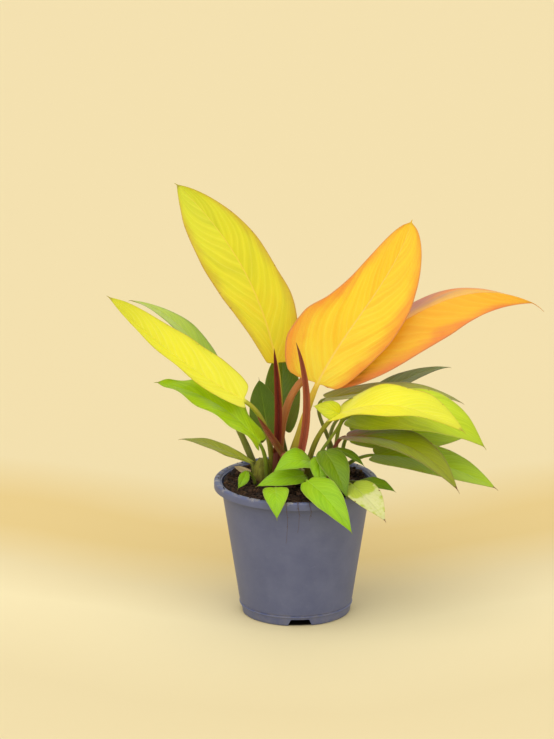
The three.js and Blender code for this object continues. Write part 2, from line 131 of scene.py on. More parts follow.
class Finish:
    # a material while its nodes are being wired
    def __init__(self, name):
        self.material = bpy.data.materials.new(name)
        self.material.use_nodes = True
        self.tree = self.material.node_tree
        self.tree.nodes.clear()

    def node(self, kind, settings, inputs, output=0):
        made = self.tree.nodes.new(kind)
        for key, value in settings.items():
            if key == "stops":
                ramp = made.color_ramp
                while len(ramp.elements) < len(value):
                    ramp.elements.new(1)
                for element, (place, colour) in zip(ramp.elements, value):
                    element.position = place
                    element.color = colour
            else:
                setattr(made, key, value)
        for key, value in inputs.items():
            if isinstance(value, Wire):
                self.tree.links.new(value.socket, made.inputs[key])
            else:
                made.inputs[key].default_value = value
        return Wire(self, made.outputs[output]) if made.outputs else None

    def stored(self, name):
        # the three numbers kept on a mesh's points under this name
        return self.split(self.node("ShaderNodeAttribute", {"attribute_name": name}, {}, "Vector"))

    def split(self, vector):
        parts = self.node("ShaderNodeSeparateXYZ", {}, {"Vector": vector})
        return parts, parts.out("Y"), parts.out("Z")

    def place(self):
        # the point itself, in metres
        return self.node("ShaderNodeTexCoord", {}, {}, "Object")

    def vector(self, x, y, z):
        return self.node("ShaderNodeCombineXYZ", {}, {"X": x, "Y": y, "Z": z})

    def noise(self, vector, scale, detail=2, roughness=0.5):
        inputs = {"Vector": vector, "Scale": scale, "Detail": detail, "Roughness": roughness}
        return self.node("ShaderNodeTexNoise", {}, inputs)

    def band(self, value, low, high):
        # 0 below low, 1 above high, and smooth between
        inputs = {"Value": value, "From Min": low, "From Max": high}
        return self.node("ShaderNodeMapRange", {"interpolation_type": "SMOOTHSTEP"}, inputs)

    def blend(self, share, first, second):
        return self.node("ShaderNodeMix", {"data_type": "RGBA"}, {0: share, 6: first, 7: second}, 2)

    def ramp(self, value, stops):
        return self.node("ShaderNodeValToRGB", {"stops": stops}, {"Fac": value})

    def surface(self, colour, roughness, height, fixed):
        # height is in metres, and fixed holds what is the same all over
        bump = self.node("ShaderNodeBump", {}, {"Height": height, "Strength": 1, "Distance": 1})
        values = {"Base Color": colour, "Roughness": roughness, "Normal": bump, **fixed}
        shader = self.node("ShaderNodeBsdfPrincipled", {}, values, "BSDF")
        self.node("ShaderNodeOutputMaterial", {}, {"Surface": shader})
        return self.material


def meshPiece(name, points, faces, material):
    mesh = bpy.data.meshes.new(name)
    mesh.from_pydata(np.asarray(points).tolist(), [], faces)
    mesh.materials.append(material)
    mesh.polygons.foreach_set("use_smooth", [True] * len(mesh.polygons))
    piece = bpy.data.objects.new(name, mesh)
    scene.collection.objects.link(piece)
    return piece


def keep(piece, name, values):
    # three numbers for each point, for the material to read
    stored = piece.data.attributes.new(name, "FLOAT_VECTOR", "POINT")
    stored.data.foreach_set("vector", np.asarray(values, np.float32).ravel())


def stand(piece, slot, *nodes):
    # a finished piece goes on the part in the place of its plain solid
    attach(piece, "root")
    if nodes:
        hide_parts(*nodes)
    return piece


def ringFaces(rings, count, first=0):
    # quads between rings of as many points each
    faces = []
    for low in range(first, first + (rings - 1) * count, count):
        for i in range(count):
            after = (i + 1) % count
            faces.append((low + i, low + after, low + count + after, low + count + i))
    return faces


def loftFaces(rings, count):
    # both ends closed as strips
    faces = ringFaces(rings, count)
    last = (rings - 1) * count
    for i in range(count // 2 - 1):
        faces.append((count - 1 - i, count - 2 - i, i + 1, i))
        faces.append((last + i, last + i + 1, last + count - 2 - i, last + count - 1 - i))
    return faces


def latheFaces(rings, facets):
    # the first and the last point are on the axis
    faces = ringFaces(rings, facets, 1)
    top = 1 + (rings - 1) * facets
    for i in range(facets):
        after = (i + 1) % facets
        faces.append((0, 1 + after, 1 + i))
        faces.append((top + facets, top + i, top + after))
    return faces


def circle(count):
    angles = [2 * math.pi * i / count for i in range(count)]
    return [(math.cos(angle), math.sin(angle)) for angle in angles]


def prism(name, low, high, material):
    # a block between two outlines of as many points
    count = len(low)
    faces = [tuple(range(count))[::-1], tuple(range(count, 2 * count))]
    faces += [(i, (i + 1) % count, count + (i + 1) % count, count + i) for i in range(count)]
    return meshPiece(name, low + high, faces, material)


def heap(points, faces, more, sides):
    # adds a small solid to a mesh in the making
    first = len(points)
    points.extend(more.tolist())
    faces.extend([tuple(first + i for i in side) for side in sides])


def bezier(p, share):
    # points and unit tangents of a cubic curve through four handles
    t = share[:, None]
    point = (1 - t) ** 3 * p[0] + 3 * (1 - t) ** 2 * t * p[1] + 3 * (1 - t) * t**2 * p[2] + t**3 * p[3]
    way = (1 - t) ** 2 * (p[1] - p[0]) + 2 * (1 - t) * t * (p[2] - p[1]) + t**2 * (p[3] - p[2])
    return point, unit(way)


def unit(vectors):
    length = np.linalg.norm(vectors, axis=-1, keepdims=True)
    return vectors / np.maximum(length, 1e-12)


def spin(angle):
    # turns rows of points about the upright axis
    cos, sin = math.cos(angle), math.sin(angle)
    return np.array([[cos, sin, 0], [-sin, cos, 0], [0, 0, 1.0]])


def ease(value, low, high):
    share = np.clip((value - low) / (high - low), 0, 1)
    return share * share * (3 - 2 * share)


def eased(pairs, shares):
    # a smooth curve through (share, value) pairs that never swings past them
    x, y = np.array(pairs, float).T
    slope = np.diff(y) / np.diff(x)
    tangent = np.zeros(len(x))
    same = slope[1:] * slope[:-1] > 0
    tangent[1:-1][same] = 2 * slope[1:][same] * slope[:-1][same] / (slope[1:] + slope[:-1])[same]
    tangent[0] = 1.5 * slope[0] - tangent[1] / 2
    tangent[-1] = 1.5 * slope[-1] - tangent[-2] / 2
    i = np.clip(np.searchsorted(x, shares, "right") - 1, 0, len(x) - 2)
    step = x[i + 1] - x[i]
    t = (shares - x[i]) / step
    return (
        (2 * t**3 - 3 * t**2 + 1) * y[i]
        + (t**3 - 2 * t**2 + t) * step * tangent[i]
        + (3 * t**2 - 2 * t**3) * y[i + 1]
        + (t**3 - t**2) * step * tangent[i + 1]
    )


# Camera: a long lens, a little above the plant
view = {
    "distance": 2.6,
    "pitch": 15.5,
    "lens": 174.6,
    "sensor": 36,
    "aside": -13.9 * mm,
    "height": 182.9 * mm,
}
tilt = math.radians(view["pitch"])
cameraData = bpy.data.cameras.new("camera")
cameraData.lens = view["lens"]
cameraData.sensor_width = view["sensor"]
cameraData.clip_end = 50
camera = bpy.data.objects.new("camera", cameraData)
scene.collection.objects.link(camera)
camera.location = (
    axisX + view["aside"],
    axisY - view["distance"] * math.cos(tilt),
    view["height"] + view["distance"] * math.sin(tilt),
)
camera.rotation_euler = (math.pi / 2 - tilt, 0, 0)
scene.camera = camera

# Light: a broad soft sun from the left front, weaker ones from the right and behind, and a pale room
lights = {
    "key": {"strength": 1.1, "spread": 75, "toward": (0.3, 0.6, -1.1), "colour": (1, 0.99, 0.97)},
    "fill": {"strength": 0.35, "spread": 80, "toward": (-0.7, 0.75, -0.45), "colour": (0.95, 0.98, 1)},
    "back": {"strength": 0.2, "spread": 60, "toward": (-0.2, -1, -0.7), "colour": (1, 0.99, 0.97)},
}
for lightName, light in lights.items():
    lamp = bpy.data.lights.new(lightName, "SUN")
    lamp.energy = light["strength"]
    lamp.angle = math.radians(light["spread"])
    lamp.color = light["colour"]
    lampObject = bpy.data.objects.new(lightName, lamp)
    lampObject.rotation_euler = Vector(light["toward"]).to_track_quat("-Z", "Y").to_euler()
    scene.collection.objects.link(lampObject)

room = {"colour": (0.98, 0.99, 1, 1), "strength": 0.71}
world = bpy.data.worlds.new("room")
world.use_nodes = True
background = world.node_tree.nodes["Background"].inputs
background["Color"].default_value = room["colour"]
background["Strength"].default_value = room["strength"]
scene.world = world
print("camera and light set")

# Floor: a flat disc of pale cream paper, with a painted pool of light before the pot, a painted band of
# shade behind it where a sweep would bend, and painted shadow under the pot
floor = {
    "reach": 9,
    "corners": 96,
    "plain": paint(237, 217, 166),
    "pool": paint(248, 230, 180),
    "shade": paint(231, 202, 134),
    "shadow": paint(40, 34, 26),
    # how far behind the pot's axis each tone is reached, in metres
    "tones": [(-0.22, "plain"), (-0.05, "pool"), (0.02, "plain"), (0.11, "shade"), (0.17, "shade")]
    + [(0.29, "plain")],
    "bandLag": 0.11,  # the band lies further back to either side
}


def floorFinish():
    f = Finish("cream_paper")
    place = f.place()
    x, y, _ = f.split(place)
    x, y = x - axisX, y - axisY
    start, end = floor["tones"][0][0], floor["tones"][-1][0]
    back = f.band(abs(x), 0, 0.3) * floor["bandLag"]
    share = (y - back + (f.noise(place, 5, 2) - 0.5) * 0.05 - start) / (end - start)
    stops = [((depth - start) / (end - start), floor[tone]) for depth, tone in floor["tones"]]
    colour = f.ramp(share, stops)
    below = 1 - f.band((x * x + y * y) ** 0.5, pot["foot"] - 4 * mm, pot["foot"] - 1 * mm)
    colour = f.blend(below, colour, floor["shadow"])
    fibre = f.noise(place, 900, 2) * 0.00002
    return f.surface(colour, 0.8, fibre, {"Specular IOR Level": 0.2})


def floorPiece():
    points = [(floor["reach"] * c, floor["reach"] * s, -0.2 * mm) for c, s in circle(floor["corners"])]
    piece = meshPiece("floor", points, [tuple(range(floor["corners"]))], floorFinish())


# Pot: thin moulded plastic, with a turned lip, a bead above the foot, and notches to drain by
pot = {
    "wall": 1.2 * mm,
    "lipHeight": 5.8 * mm,
    "lipWidth": 3.4 * mm,
    "lipRound": 1.2 * mm,
    "shoulder": rimRadius - 6 * mm,
    "foot": 0.67 * rimRadius,
    "footBand": 6.8 * mm,
    "footRing": 1.9 * mm,
    "floorHeight": 7 * mm,
    "floorThickness": 1.5 * mm,
    "notchWidth": 16 * mm,
    "notchHeight": 5 * mm,
    "notchTaper": 1.4 * mm,
    "notchRound": 1.5 * mm,
    "notchBearing": -86,
    "holeRadius": 4 * mm,
    "holeCircle": 25 * mm,
    "beadOut": 0.5 * mm,
    "groove": 0.6 * mm,
    "edgeRound": 0.4 * mm,
    "facets": 160,
    "plastic": paint(76, 84, 122),
    "plasticWorn": paint(108, 114, 146),
    "dustAndHighlight": paint(150, 142, 132),
    "hollowShade": paint(16, 15, 15),
    "soil": paint(66, 48, 34),
    "crust": paint(186, 180, 168),
}
lipUnder = rimTop - pot["lipHeight"]
innerShoulder = pot["shoulder"] - pot["wall"]
innerFloor = pot["foot"] + 1.2 * mm - pot["wall"]


def lathe(profile, facets, middle=(axisX, axisY)):
    # points and faces turned about an upright axis, from the radius and height of each ring,
    # with the first and last on the axis
    middleX, middleY = middle
    points = [(middleX, middleY, profile[0][1])]
    for radius, height in profile[1:-1]:
        points += [(middleX + radius * c, middleY + radius * s, height) for c, s in circle(facets)]
    points.append((middleX, middleY, profile[-1][1]))
    return points, latheFaces(len(profile) - 2, facets)


def rounded(corners, radius, steps=4):
    # a profile with each inner corner rounded off, by this radius at most
    made = [corners[0]]
    for before, corner, after in zip(corners, corners[1:-1], corners[2:]):
        corner = np.array(corner)
        inward = np.array(before) - corner
        onward = np.array(after) - corner
        cut = min(radius, 0.4 * np.linalg.norm(inward), 0.4 * np.linalg.norm(onward))
        start = corner + unit(inward) * cut
        end = corner + unit(onward) * cut
        for step in range(steps + 1):
            t = step / steps
            made.append(tuple((1 - t) ** 2 * start + 2 * (1 - t) * t * corner + t * t * end))
    made.append(corners[-1])
    return made


def potFinish():
    f = Finish("slate_plastic")
    place = f.place()
    x, y, height = f.split(place)
    x, y = x - axisX, y - axisY
    mottle = f.noise(place, 55, 4, 0.6)
    colour = f.blend(mottle, pot["plastic"], pot["plasticWorn"])
    # scuffs run round the wall, dust lies low on the wall, and a painted highlight mixed with dust runs
    # along the bead and the top of the lip
    around = f.node("ShaderNodeMath", {"operation": "ARCTAN2"}, {0: y, 1: x})
    scuff = f.band(f.noise(f.vector(around * 6, height * 260, 0), 1.6, 3), 0.58, 0.8)
    colour = f.blend(scuff * 0.35, colour, pot["plasticWorn"])
    dustAndHighlightNoise = f.noise(place, 130, 4, 0.7)
    # painted highlight mixed with dust: a light line along the bead
    bead = 1 - f.band(abs(height - pot["footBand"] - 0.8 * mm), 0, 1.6 * mm)
    low = 1 - f.band(height, 0, 12 * mm)
    dustAndHighlightShare = (bead * 0.35 + low * 0.25) * f.band(dustAndHighlightNoise, 0.4, 0.65)
    colour = f.blend(dustAndHighlightShare, colour, pot["dustAndHighlight"])
    # painted highlight mixed with dust: lighter patches on the top of the lip
    lip = f.band(height, rimTop - 1.4 * mm, rimTop - 0.2 * mm) * f.band(dustAndHighlightNoise, 0.45, 0.62)
    colour = f.blend(lip * 0.6, colour, pot["dustAndHighlight"])
    # hard water and soil mark the lip, and painted shade makes the hollow under the foot near black
    crust = f.band(height, rimTop - 3 * mm, rimTop) * f.band(f.noise(place, 75, 4, 0.7), 0.56, 0.64)
    colour = f.blend(crust * 0.5, colour, pot["crust"])
    smear = f.band(height, rimTop - 4 * mm, rimTop)
    smear = smear * f.band(f.noise(place, 48, 4, 0.65), 0.52, 0.62)
    colour = f.blend(smear * 0.55, colour, pot["soil"])
    radius = (x * x + y * y) ** 0.5
    # painted shade: near black inside the foot ring, below the pot's floor
    within = 1 - f.band(radius, pot["foot"] - 1.2 * mm, pot["foot"] - 0.6 * mm)
    beneath = 1 - f.band(height, pot["floorHeight"], pot["floorHeight"] + 0.2 * mm)
    colour = f.blend(within * beneath, colour, pot["hollowShade"])
    speck = f.band(f.noise(place, 420, 2), 0.74, 0.78) * f.band(f.noise(place, 30, 2), 0.5, 0.66)
    colour = f.blend(speck * 0.8, colour, pot["soil"])
    grain = f.noise(place, 1500, 2, 0.6)
    ripple = f.noise(f.vector(around * 2, height * 90, 0), 1.2, 2)
    relief = grain * 0.00005 + ripple * 0.00022 + speck * 0.0002
    rough = 0.36 + mottle * 0.16 + dustAndHighlightShare * 0.3 + grain * 0.08
    return f.surface(colour, rough, relief, {"Specular IOR Level": 0.45})


def potProfile():
    foot, shoulder = pot["foot"], pot["shoulder"]
    band, groove, lipRound = pot["footBand"], pot["groove"], pot["lipRound"]
    bandRadius = foot + 1 * mm
    bead = bandRadius + pot["beadOut"]
    innerLip = rimRadius - pot["lipWidth"]
    corners = [
        (0, pot["floorHeight"]),
        (foot - pot["footRing"], pot["floorHeight"]),
        (foot - pot["footRing"], 0),
        (foot - groove, 0),
        (foot, groove),
        (bandRadius - 0.3 * mm, band - 1.4 * groove),
        (bead, band - 0.4 * groove),
        (bead, band + 0.4 * groove),
        (bandRadius - groove, band + 1.4 * groove),
        (bandRadius + 0.2 * mm, band + 2.4 * groove),
        (shoulder - 0.35 * mm, lipUnder - 6 * mm),
        (shoulder, lipUnder),
        (shoulder + 0.3 * mm, rimTop - lipRound - 0.2 * mm),
        (rimRadius - lipRound, rimTop - lipRound - 0.2 * mm),
        (rimRadius - lipRound, lipUnder),
        (rimRadius, lipUnder),
        (rimRadius, rimTop - lipRound),
        (rimRadius - 0.35 * lipRound, rimTop - 0.35 * lipRound),
        (rimRadius - lipRound, rimTop),
        (innerLip, rimTop),
        (innerLip - 0.8 * mm, rimTop - 0.5 * mm),
        (innerShoulder, lipUnder),
        (innerFloor, pot["floorHeight"] + pot["floorThickness"]),
        (0, pot["floorHeight"] + pot["floorThickness"]),
    ]
    return rounded(corners, pot["edgeRound"], 3)


def notchOutline():
    # across and up: sides that open towards the ground, and rounded top corners
    wide = pot["notchWidth"] / 2 + pot["notchTaper"]
    narrow = pot["notchWidth"] / 2 - pot["notchTaper"] / 2
    side = [(wide, -1 * mm)]
    for step in range(9):
        angle = math.pi / 2 * step / 8
        across = narrow - pot["notchRound"] * (1 - math.cos(angle))
        side.append((across, pot["notchHeight"] - pot["notchRound"] * (1 - math.sin(angle))))
    return side + [(-across, height) for across, height in reversed(side)]


def potCutters(material):
    # four notches through the foot, and four holes in the floor between them
    cutters = []
    reaches = [pot["foot"] - 2 * pot["footRing"], pot["foot"] + 2 * pot["footRing"]]
    heights = [pot["floorHeight"] - 2 * mm, pot["floorHeight"] + 4 * mm]
    for turn in range(4):
        bearing = math.radians(pot["notchBearing"] + 90 * turn)
        out = Vector((math.cos(bearing), math.sin(bearing), 0))
        aside = Vector((-out.y, out.x, 0))
        ends = [[], []]
        for reach, end in zip(reaches, ends):
            for across, height in notchOutline():
                spot = out * reach + aside * across
                end.append((axisX + spot.x, axisY + spot.y, height))
        cutters.append(prism(f"notch_{turn}", *ends, material))
        angle = bearing + math.radians(45)
        holeX = axisX + pot["holeCircle"] * math.cos(angle)
        holeY = axisY + pot["holeCircle"] * math.sin(angle)
        rim = [(holeX + pot["holeRadius"] * c, holeY + pot["holeRadius"] * s) for c, s in circle(32)]
        ends = [[(x, y, height) for x, y in rim] for height in heights]
        cutters.append(prism(f"hole_{turn}", *ends, material))
    return cutters


def potPiece():
    material = potFinish()
    points, faces = lathe(potProfile(), pot["facets"])
    piece = meshPiece("pot_shell", points, faces, material)
    cutters = potCutters(material)
    for cutter in cutters:
        carve = piece.modifiers.new(cutter.name, "BOOLEAN")
        carve.operation = "DIFFERENCE"
        carve.object = cutter
        carve.solver = "EXACT"
    done = bpy.data.meshes.new_from_object(piece.evaluated_get(bpy.context.evaluated_depsgraph_get()))
    piece.modifiers.clear()
    piece.data = done
    for cutter in cutters:
        bpy.data.objects.remove(cutter)
    piece.data.set_sharp_from_angle(angle=math.radians(40))
    stand(piece, "pot", "pot")


floorPiece()
print("floor laid")
potPiece()
print("pot turned")

# Mix: dark crumbly peat with bark and pale fibres in it, a little banked at the wall
mix = {
    "floor": pot["floorHeight"] + pot["floorThickness"] + 0.3 * mm,
    "bank": 2.8 * mm,
    "rings": 64,
    "facets": 150,
    "crumbs": 1500,
    "chips": 150,
    "spilt": 110,
    "dark": paint(34, 23, 15),
    "brown": paint(72, 50, 34),
    "pale": paint(128, 98, 68),
    "bark": paint(96, 68, 46),
    "chip": (paint(82, 58, 38), paint(120, 88, 58), paint(170, 140, 104)),
    "seed": 11,
}


def mixFinish(name, dark, brown, pale, paleShare):
    f = Finish(name)
    place = f.place()
    lump = f.noise(place, 160, 4, 0.65)
    fine = f.noise(place, 900, 3, 0.7)
    colour = f.blend(f.band(lump, 0.35, 0.7), dark, brown)
    colour = f.blend(f.band(fine, 0.62, 0.75) * paleShare, colour, pale)
    relief = lump * 0.0012 + fine * 0.0004
    return f.surface(colour, 0.75 + fine * 0.25, relief, {"Specular IOR Level": 0.25})


def mixTones():
    return mix["dark"], mix["brown"], mix["pale"]


def mixHeight(x, y, radius):
    # the top of the mix: gentle bumps, finer clods, and a bank at the wall
    swell = 1 * mm * math.sin(210 * x + 1) * math.cos(170 * y - 0.6)
    spot = Vector((x, y, 0))
    clod = 1.3 * mm * noise.noise(spot * 130) + 0.7 * mm * noise.noise(spot * 340)
    grit = 0.35 * mm * noise.noise(spot * 900)
    bank = mix["bank"] * ease(radius, 0.88 * innerShoulder, innerShoulder)
    return mixTop + swell + clod + grit + bank


def mixPiece():
    points = [(axisX, axisY, mix["floor"])]
    wall = [
        (innerFloor - 0.4 * mm, mix["floor"]),
        (innerShoulder - 0.5 * mm, lipUnder - 2 * mm),
        (innerShoulder + 0.4 * mm, mixTop + 0.6 * mm),
    ]
    ways = circle(mix["facets"])
    for radius, height in wall:
        points += [(axisX + radius * c, axisY + radius * s, height) for c, s in ways]
    for ring in range(mix["rings"]):
        radius = (innerShoulder - 0.2 * mm) * (1 - (ring / mix["rings"]) ** 1.1)
        for c, s in ways:
            x, y = radius * c, radius * s
            points.append((axisX + x, axisY + y, mixHeight(x, y, radius)))
    points.append((axisX, axisY, mixHeight(0, 0, 0)))
    faces = latheFaces(len(wall) + mix["rings"], mix["facets"])
    piece = meshPiece("potting_mix_bed", points, faces, mixFinish("peat", *mixTones(), 0.35))
    stand(piece, "mix", "potting_mix")


def crumbShape(draw):
    # an uneven nugget from a twenty-sided ball
    golden = (1 + 5**0.5) / 2
    ball = [(-1, golden, 0), (1, golden, 0), (-1, -golden, 0), (1, -golden, 0)]
    ball += [(0, -1, golden), (0, 1, golden), (0, -1, -golden), (0, 1, -golden)]
    ball += [(golden, 0, -1), (golden, 0, 1), (-golden, 0, -1), (-golden, 0, 1)]
    sides = [(0, 11, 5), (0, 5, 1), (0, 1, 7), (0, 7, 10), (0, 10, 11), (1, 5, 9), (5, 11, 4), (11, 10, 2)]
    sides += [(10, 7, 6), (7, 1, 8), (3, 9, 4), (3, 4, 2), (3, 2, 6), (3, 6, 8), (3, 8, 9), (4, 9, 5)]
    sides += [(2, 4, 11), (6, 2, 10), (8, 6, 7), (9, 8, 1)]
    points = unit(np.array(ball, float)) * np.array([[draw.uniform(0.75, 1.25)] for _ in ball])
    return points, sides


def scattered(draw):
    # an even draw over the top of the mix, from the pot's axis
    radius = math.sqrt(draw.random()) * (innerShoulder - 1.2 * mm)
    angle = draw.uniform(0, 2 * math.pi)
    return radius * math.cos(angle), radius * math.sin(angle), radius


def crumbPieces():
    draw = random.Random(mix["seed"])
    piles = {"mix_crumbs_dark": [[], []], "mix_crumbs_brown": [[], []]}
    for number in range(mix["crumbs"]):
        points, sides = crumbShape(draw)
        x, y, radius = scattered(draw)
        size = 0.5 * mm + 1.5 * mm * draw.random() ** 3
        stretch = np.array([draw.uniform(0.8, 1.5), draw.uniform(0.8, 1.3), draw.uniform(0.6, 1)])
        points = points * stretch * size
        points = points @ spin(draw.uniform(0, 2 * math.pi))
        points += np.array([axisX + x, axisY + y, mixHeight(x, y, radius) + 0.3 * size])
        heap(*piles["mix_crumbs_dark" if number % 3 else "mix_crumbs_brown"], points, sides)
    finishes = {
        "mix_crumbs_dark": mixFinish("peat_crumbs", *mixTones(), 0.2),
        "mix_crumbs_brown": mixFinish("bark_crumbs", mix["brown"], mix["bark"], mix["pale"], 0.6),
    }
    for name, (points, sides) in piles.items():
        stand(meshPiece(name, points, sides, finishes[name]), "mix")


def rimCrumbs():
    # peat spilt on the rim, most of it at the front where the roots hang over
    draw = random.Random(mix["seed"] + 2)
    points = []
    sides = []
    for number in range(mix["spilt"]):
        shape, corners = crumbShape(draw)
        bearing = draw.gauss(-86, 9) if number % 2 else draw.uniform(0, 360)
        inward = -pot["lipWidth"] / mm - draw.uniform(-1.6, 0.4)
        size = draw.uniform(0.25, 0.6)
        if number % 2:
            inward -= 0.6
            size *= 1.3
        spot = pastRim(bearing, inward, 0.35 * size)
        heap(points, sides, shape * size * mm @ spin(draw.uniform(0, 6)) + spot, corners)
    piece = meshPiece("rim_crumbs", points, sides, mixFinish("spilt_peat", *mixTones(), 0.4))
    stand(piece, "mix")


def chipPiece():
    # slivers of bark and short fibres, lying every way on the mix
    draw = random.Random(mix["seed"] + 1)
    points = []
    faces = []
    for _ in range(mix["chips"]):
        x, y, radius = scattered(draw)
        length = draw.uniform(3, 9) * mm
        thick = draw.uniform(0.12, 0.45) * mm
        angle = draw.uniform(0, 2 * math.pi)
        lean = draw.uniform(-0.25, 0.25)
        way = np.array([math.cos(angle) * math.cos(lean), math.sin(angle) * math.cos(lean), math.sin(lean)])
        start = np.array([axisX + x, axisY + y, mixHeight(x, y, radius) + thick + 0.4 * mm])
        bend = np.array([draw.uniform(-1, 1), draw.uniform(-1, 1), draw.uniform(0, 0.6)]) * length * 0.2
        path = [start, start + way * length * 0.5 + bend, start + way * length]
        if math.hypot(path[2][0] - axisX, path[2][1] - axisY) > innerShoulder - 1 * mm:
            continue
        tube(points, faces, path, [thick, thick * 1.1, thick * 0.5], 5)
    piece = meshPiece("mix_bark_chips", points, faces, mixFinish("bark_chips", *mix["chip"], 0.7))
    stand(piece, "mix")


def tube(points, faces, path, radii, sides):
    # adds a closed tube along a path to a mesh in the making
    path = np.array(path)
    ways = unit(np.gradient(path, axis=0))
    side = unit(np.cross(ways[0], [0.31, 0.22, 0.92]))
    first = len(points)
    for spot, way, radius in zip(path, ways, radii):
        side = unit(side - way * np.dot(side, way))
        other = np.cross(way, side)
        points += [(spot + radius * (c * side + s * other)).tolist() for c, s in circle(sides)]
    faces += ringFaces(len(path), sides, first)
    last = first + (len(path) - 1) * sides
    faces.append(tuple(first + i for i in range(sides))[::-1])
    faces.append(tuple(last + i for i in range(sides)))


mixPiece()
crumbPieces()
rimCrumbs()
chipPiece()
print("potting mix filled")

# Stems: squat crowns, fluted by the feet of old stalks
stem = {
    "depth": 12 * mm,
    # name, place, radius and height
    "each": [("stem_middle", -1, 9, 12, 9), ("stem_left", -24, 7, 8.5, 17), ("stem_right", 26, 2, 9, 8)],
    "rings": 40,
    "facets": 72,
    "flutes": 7,
    "bark": paint(96, 70, 36),
    "green": paint(142, 140, 44),
    "scar": paint(70, 46, 26),
}


def stemFinish():
    f = Finish("stem_bark")
    place = f.place()
    height = f.split(place)[2]
    lump = f.noise(place, 190, 3)
    fine = f.noise(place, 1400, 3, 0.6)
    strands = f.noise(place.scaled((1, 1, 0.12)), 900, 3, 0.6)
    greening = f.band(height - mixTop + lump * 8 * mm, 3 * mm, 12 * mm)
    colour = f.blend(greening, stem["bark"], stem["green"])
    colour = f.blend(f.band(strands, 0.45, 0.75) * 0.6, colour, stem["scar"])
    colour = f.blend(f.band(fine, 0.6, 0.8) * 0.3, colour, stem["scar"])
    relief = strands * 0.0005 + fine * 0.0002
    return f.surface(colour, 0.5 + fine * 0.3, relief, {"Specular IOR Level": 0.3})


def stemPieces():
    finish = stemFinish()
    for name, x, y, radius, height in stem["each"]:
        radius, height = radius * mm, height * mm
        x, y = axisX + x * mm, axisY + y * mm
        reaches = np.array([0.6, 1, 1, 0.84, 0.6, 0.4]) * radius
        levels = [-stem["depth"], -0.3 * stem["depth"], 0.2 * height, 0.6 * height, 0.9 * height, height]
        profile = [(0, mixTop - stem["depth"])]
        for step in np.linspace(0, len(levels) - 1, stem["rings"]):
            reach = np.interp(step, range(len(levels)), reaches)
            profile.append((reach, mixTop + np.interp(step, range(len(levels)), levels)))
        profile += [(0.2 * radius, mixTop + height - 0.5 * mm), (0, mixTop + height - 0.8 * mm)]
        points, faces = lathe(profile, stem["facets"], (x, y))
        points = np.array(points)
        middle = np.array([x, y, 0])
        for i, point in enumerate(points):
            out = (point - middle) * [1, 1, 0]
            rise = (point[2] - mixTop) / height
            around = math.atan2(out[1], out[0])
            flute = abs(math.sin(0.5 * stem["flutes"] * around + 1.5 * rise + x * 400))
            swell = 0.16 * (flute - 1) + 0.08 * noise.noise(Vector(point) * 200)
            points[i] = point + out * swell
        stand(meshPiece(name + "_grown", points, faces, finish), "stem", name)


stemPieces()
print("stems grown")

# Roots: three fine ones that hang over the rim, with hairs
root = {
    "thick": 0.2 * mm,
    "clear": 0.8 * mm,
    # name, bearing, and how far it hangs below the rim
    "each": [("root_fibre_left", -97, 30), ("root_fibre_middle", -89, 22), ("root_fibre_right", -81, 13)],
    "hairs": 9,
    "hairThick": (0.09 * mm, 0.07 * mm, 0.04 * mm),
    "brown": paint(92, 68, 52),
    "pale": paint(134, 108, 88),
    "seed": 23,
}


def rootPieces():
    finish = mixFinish("root_skin", root["brown"], root["brown"], root["pale"], 0.6)
    draw = random.Random(root["seed"])
    clear = root["clear"] / mm
    bank = (innerShoulder - rimRadius) / mm - 1
    for name, bearing, drop in root["each"]:
        handles = [
            pastRim(bearing - 3, bank - 1.5, (mix["bank"] - mixDrop) / mm),
            pastRim(bearing - 2, -pot["lipWidth"] / mm - 1, 0.5 * clear),
            pastRim(bearing, -pot["lipRound"] / mm, 0.5 * clear),
            pastRim(bearing, 0.5 * clear, -pot["lipRound"] / mm),
            pastRim(bearing + 1, clear, -0.5 * drop),
            pastRim(bearing, clear, -drop),
        ]
        path = []
        for i in range(len(handles) - 1):
            near = [max(0, min(len(handles) - 1, k)) for k in range(i - 1, i + 3)]
            before, start, end, after = (handles[k] for k in near)
            for t in np.arange(0, 1, 0.1):
                curve = 2 * start + (end - before) * t + (2 * before - 5 * start + 4 * end - after) * t**2
                path.append((curve + (3 * start - before - 3 * end + after) * t**3) / 2)
        path.append(handles[-1])
        path = np.array(path)
        for i, spot in enumerate(path):
            loose = ease(i / len(path), 0.5, 1)
            path[i][0] += loose * 1.1 * mm * noise.noise(Vector((bearing, i * 0.16, 0)))
            path[i][2] += 0.3 * mm * loose * noise.noise(Vector((bearing, i * 0.3, 5)))
        radii = root["thick"] * np.linspace(1.1, 0.45, len(path))
        points = []
        faces = []
        tube(points, faces, path, radii, 7)
        for _ in range(root["hairs"]):
            i = draw.randrange(8, len(path) - 6)
            aside = np.array([draw.uniform(-1, 1), draw.uniform(-0.5, 0.05), draw.uniform(-1.2, 0.1)]) * mm
            reach = draw.uniform(0.8, 3)
            end = path[i] + aside * reach + np.array([0, 0, -0.4 * mm])
            tube(points, faces, [path[i], path[i] + aside * reach * 0.5, end], root["hairThick"], 5)
        stand(meshPiece(name + "_grown", points, faces, finish), "root", name)


rootPieces()
print("roots hung")

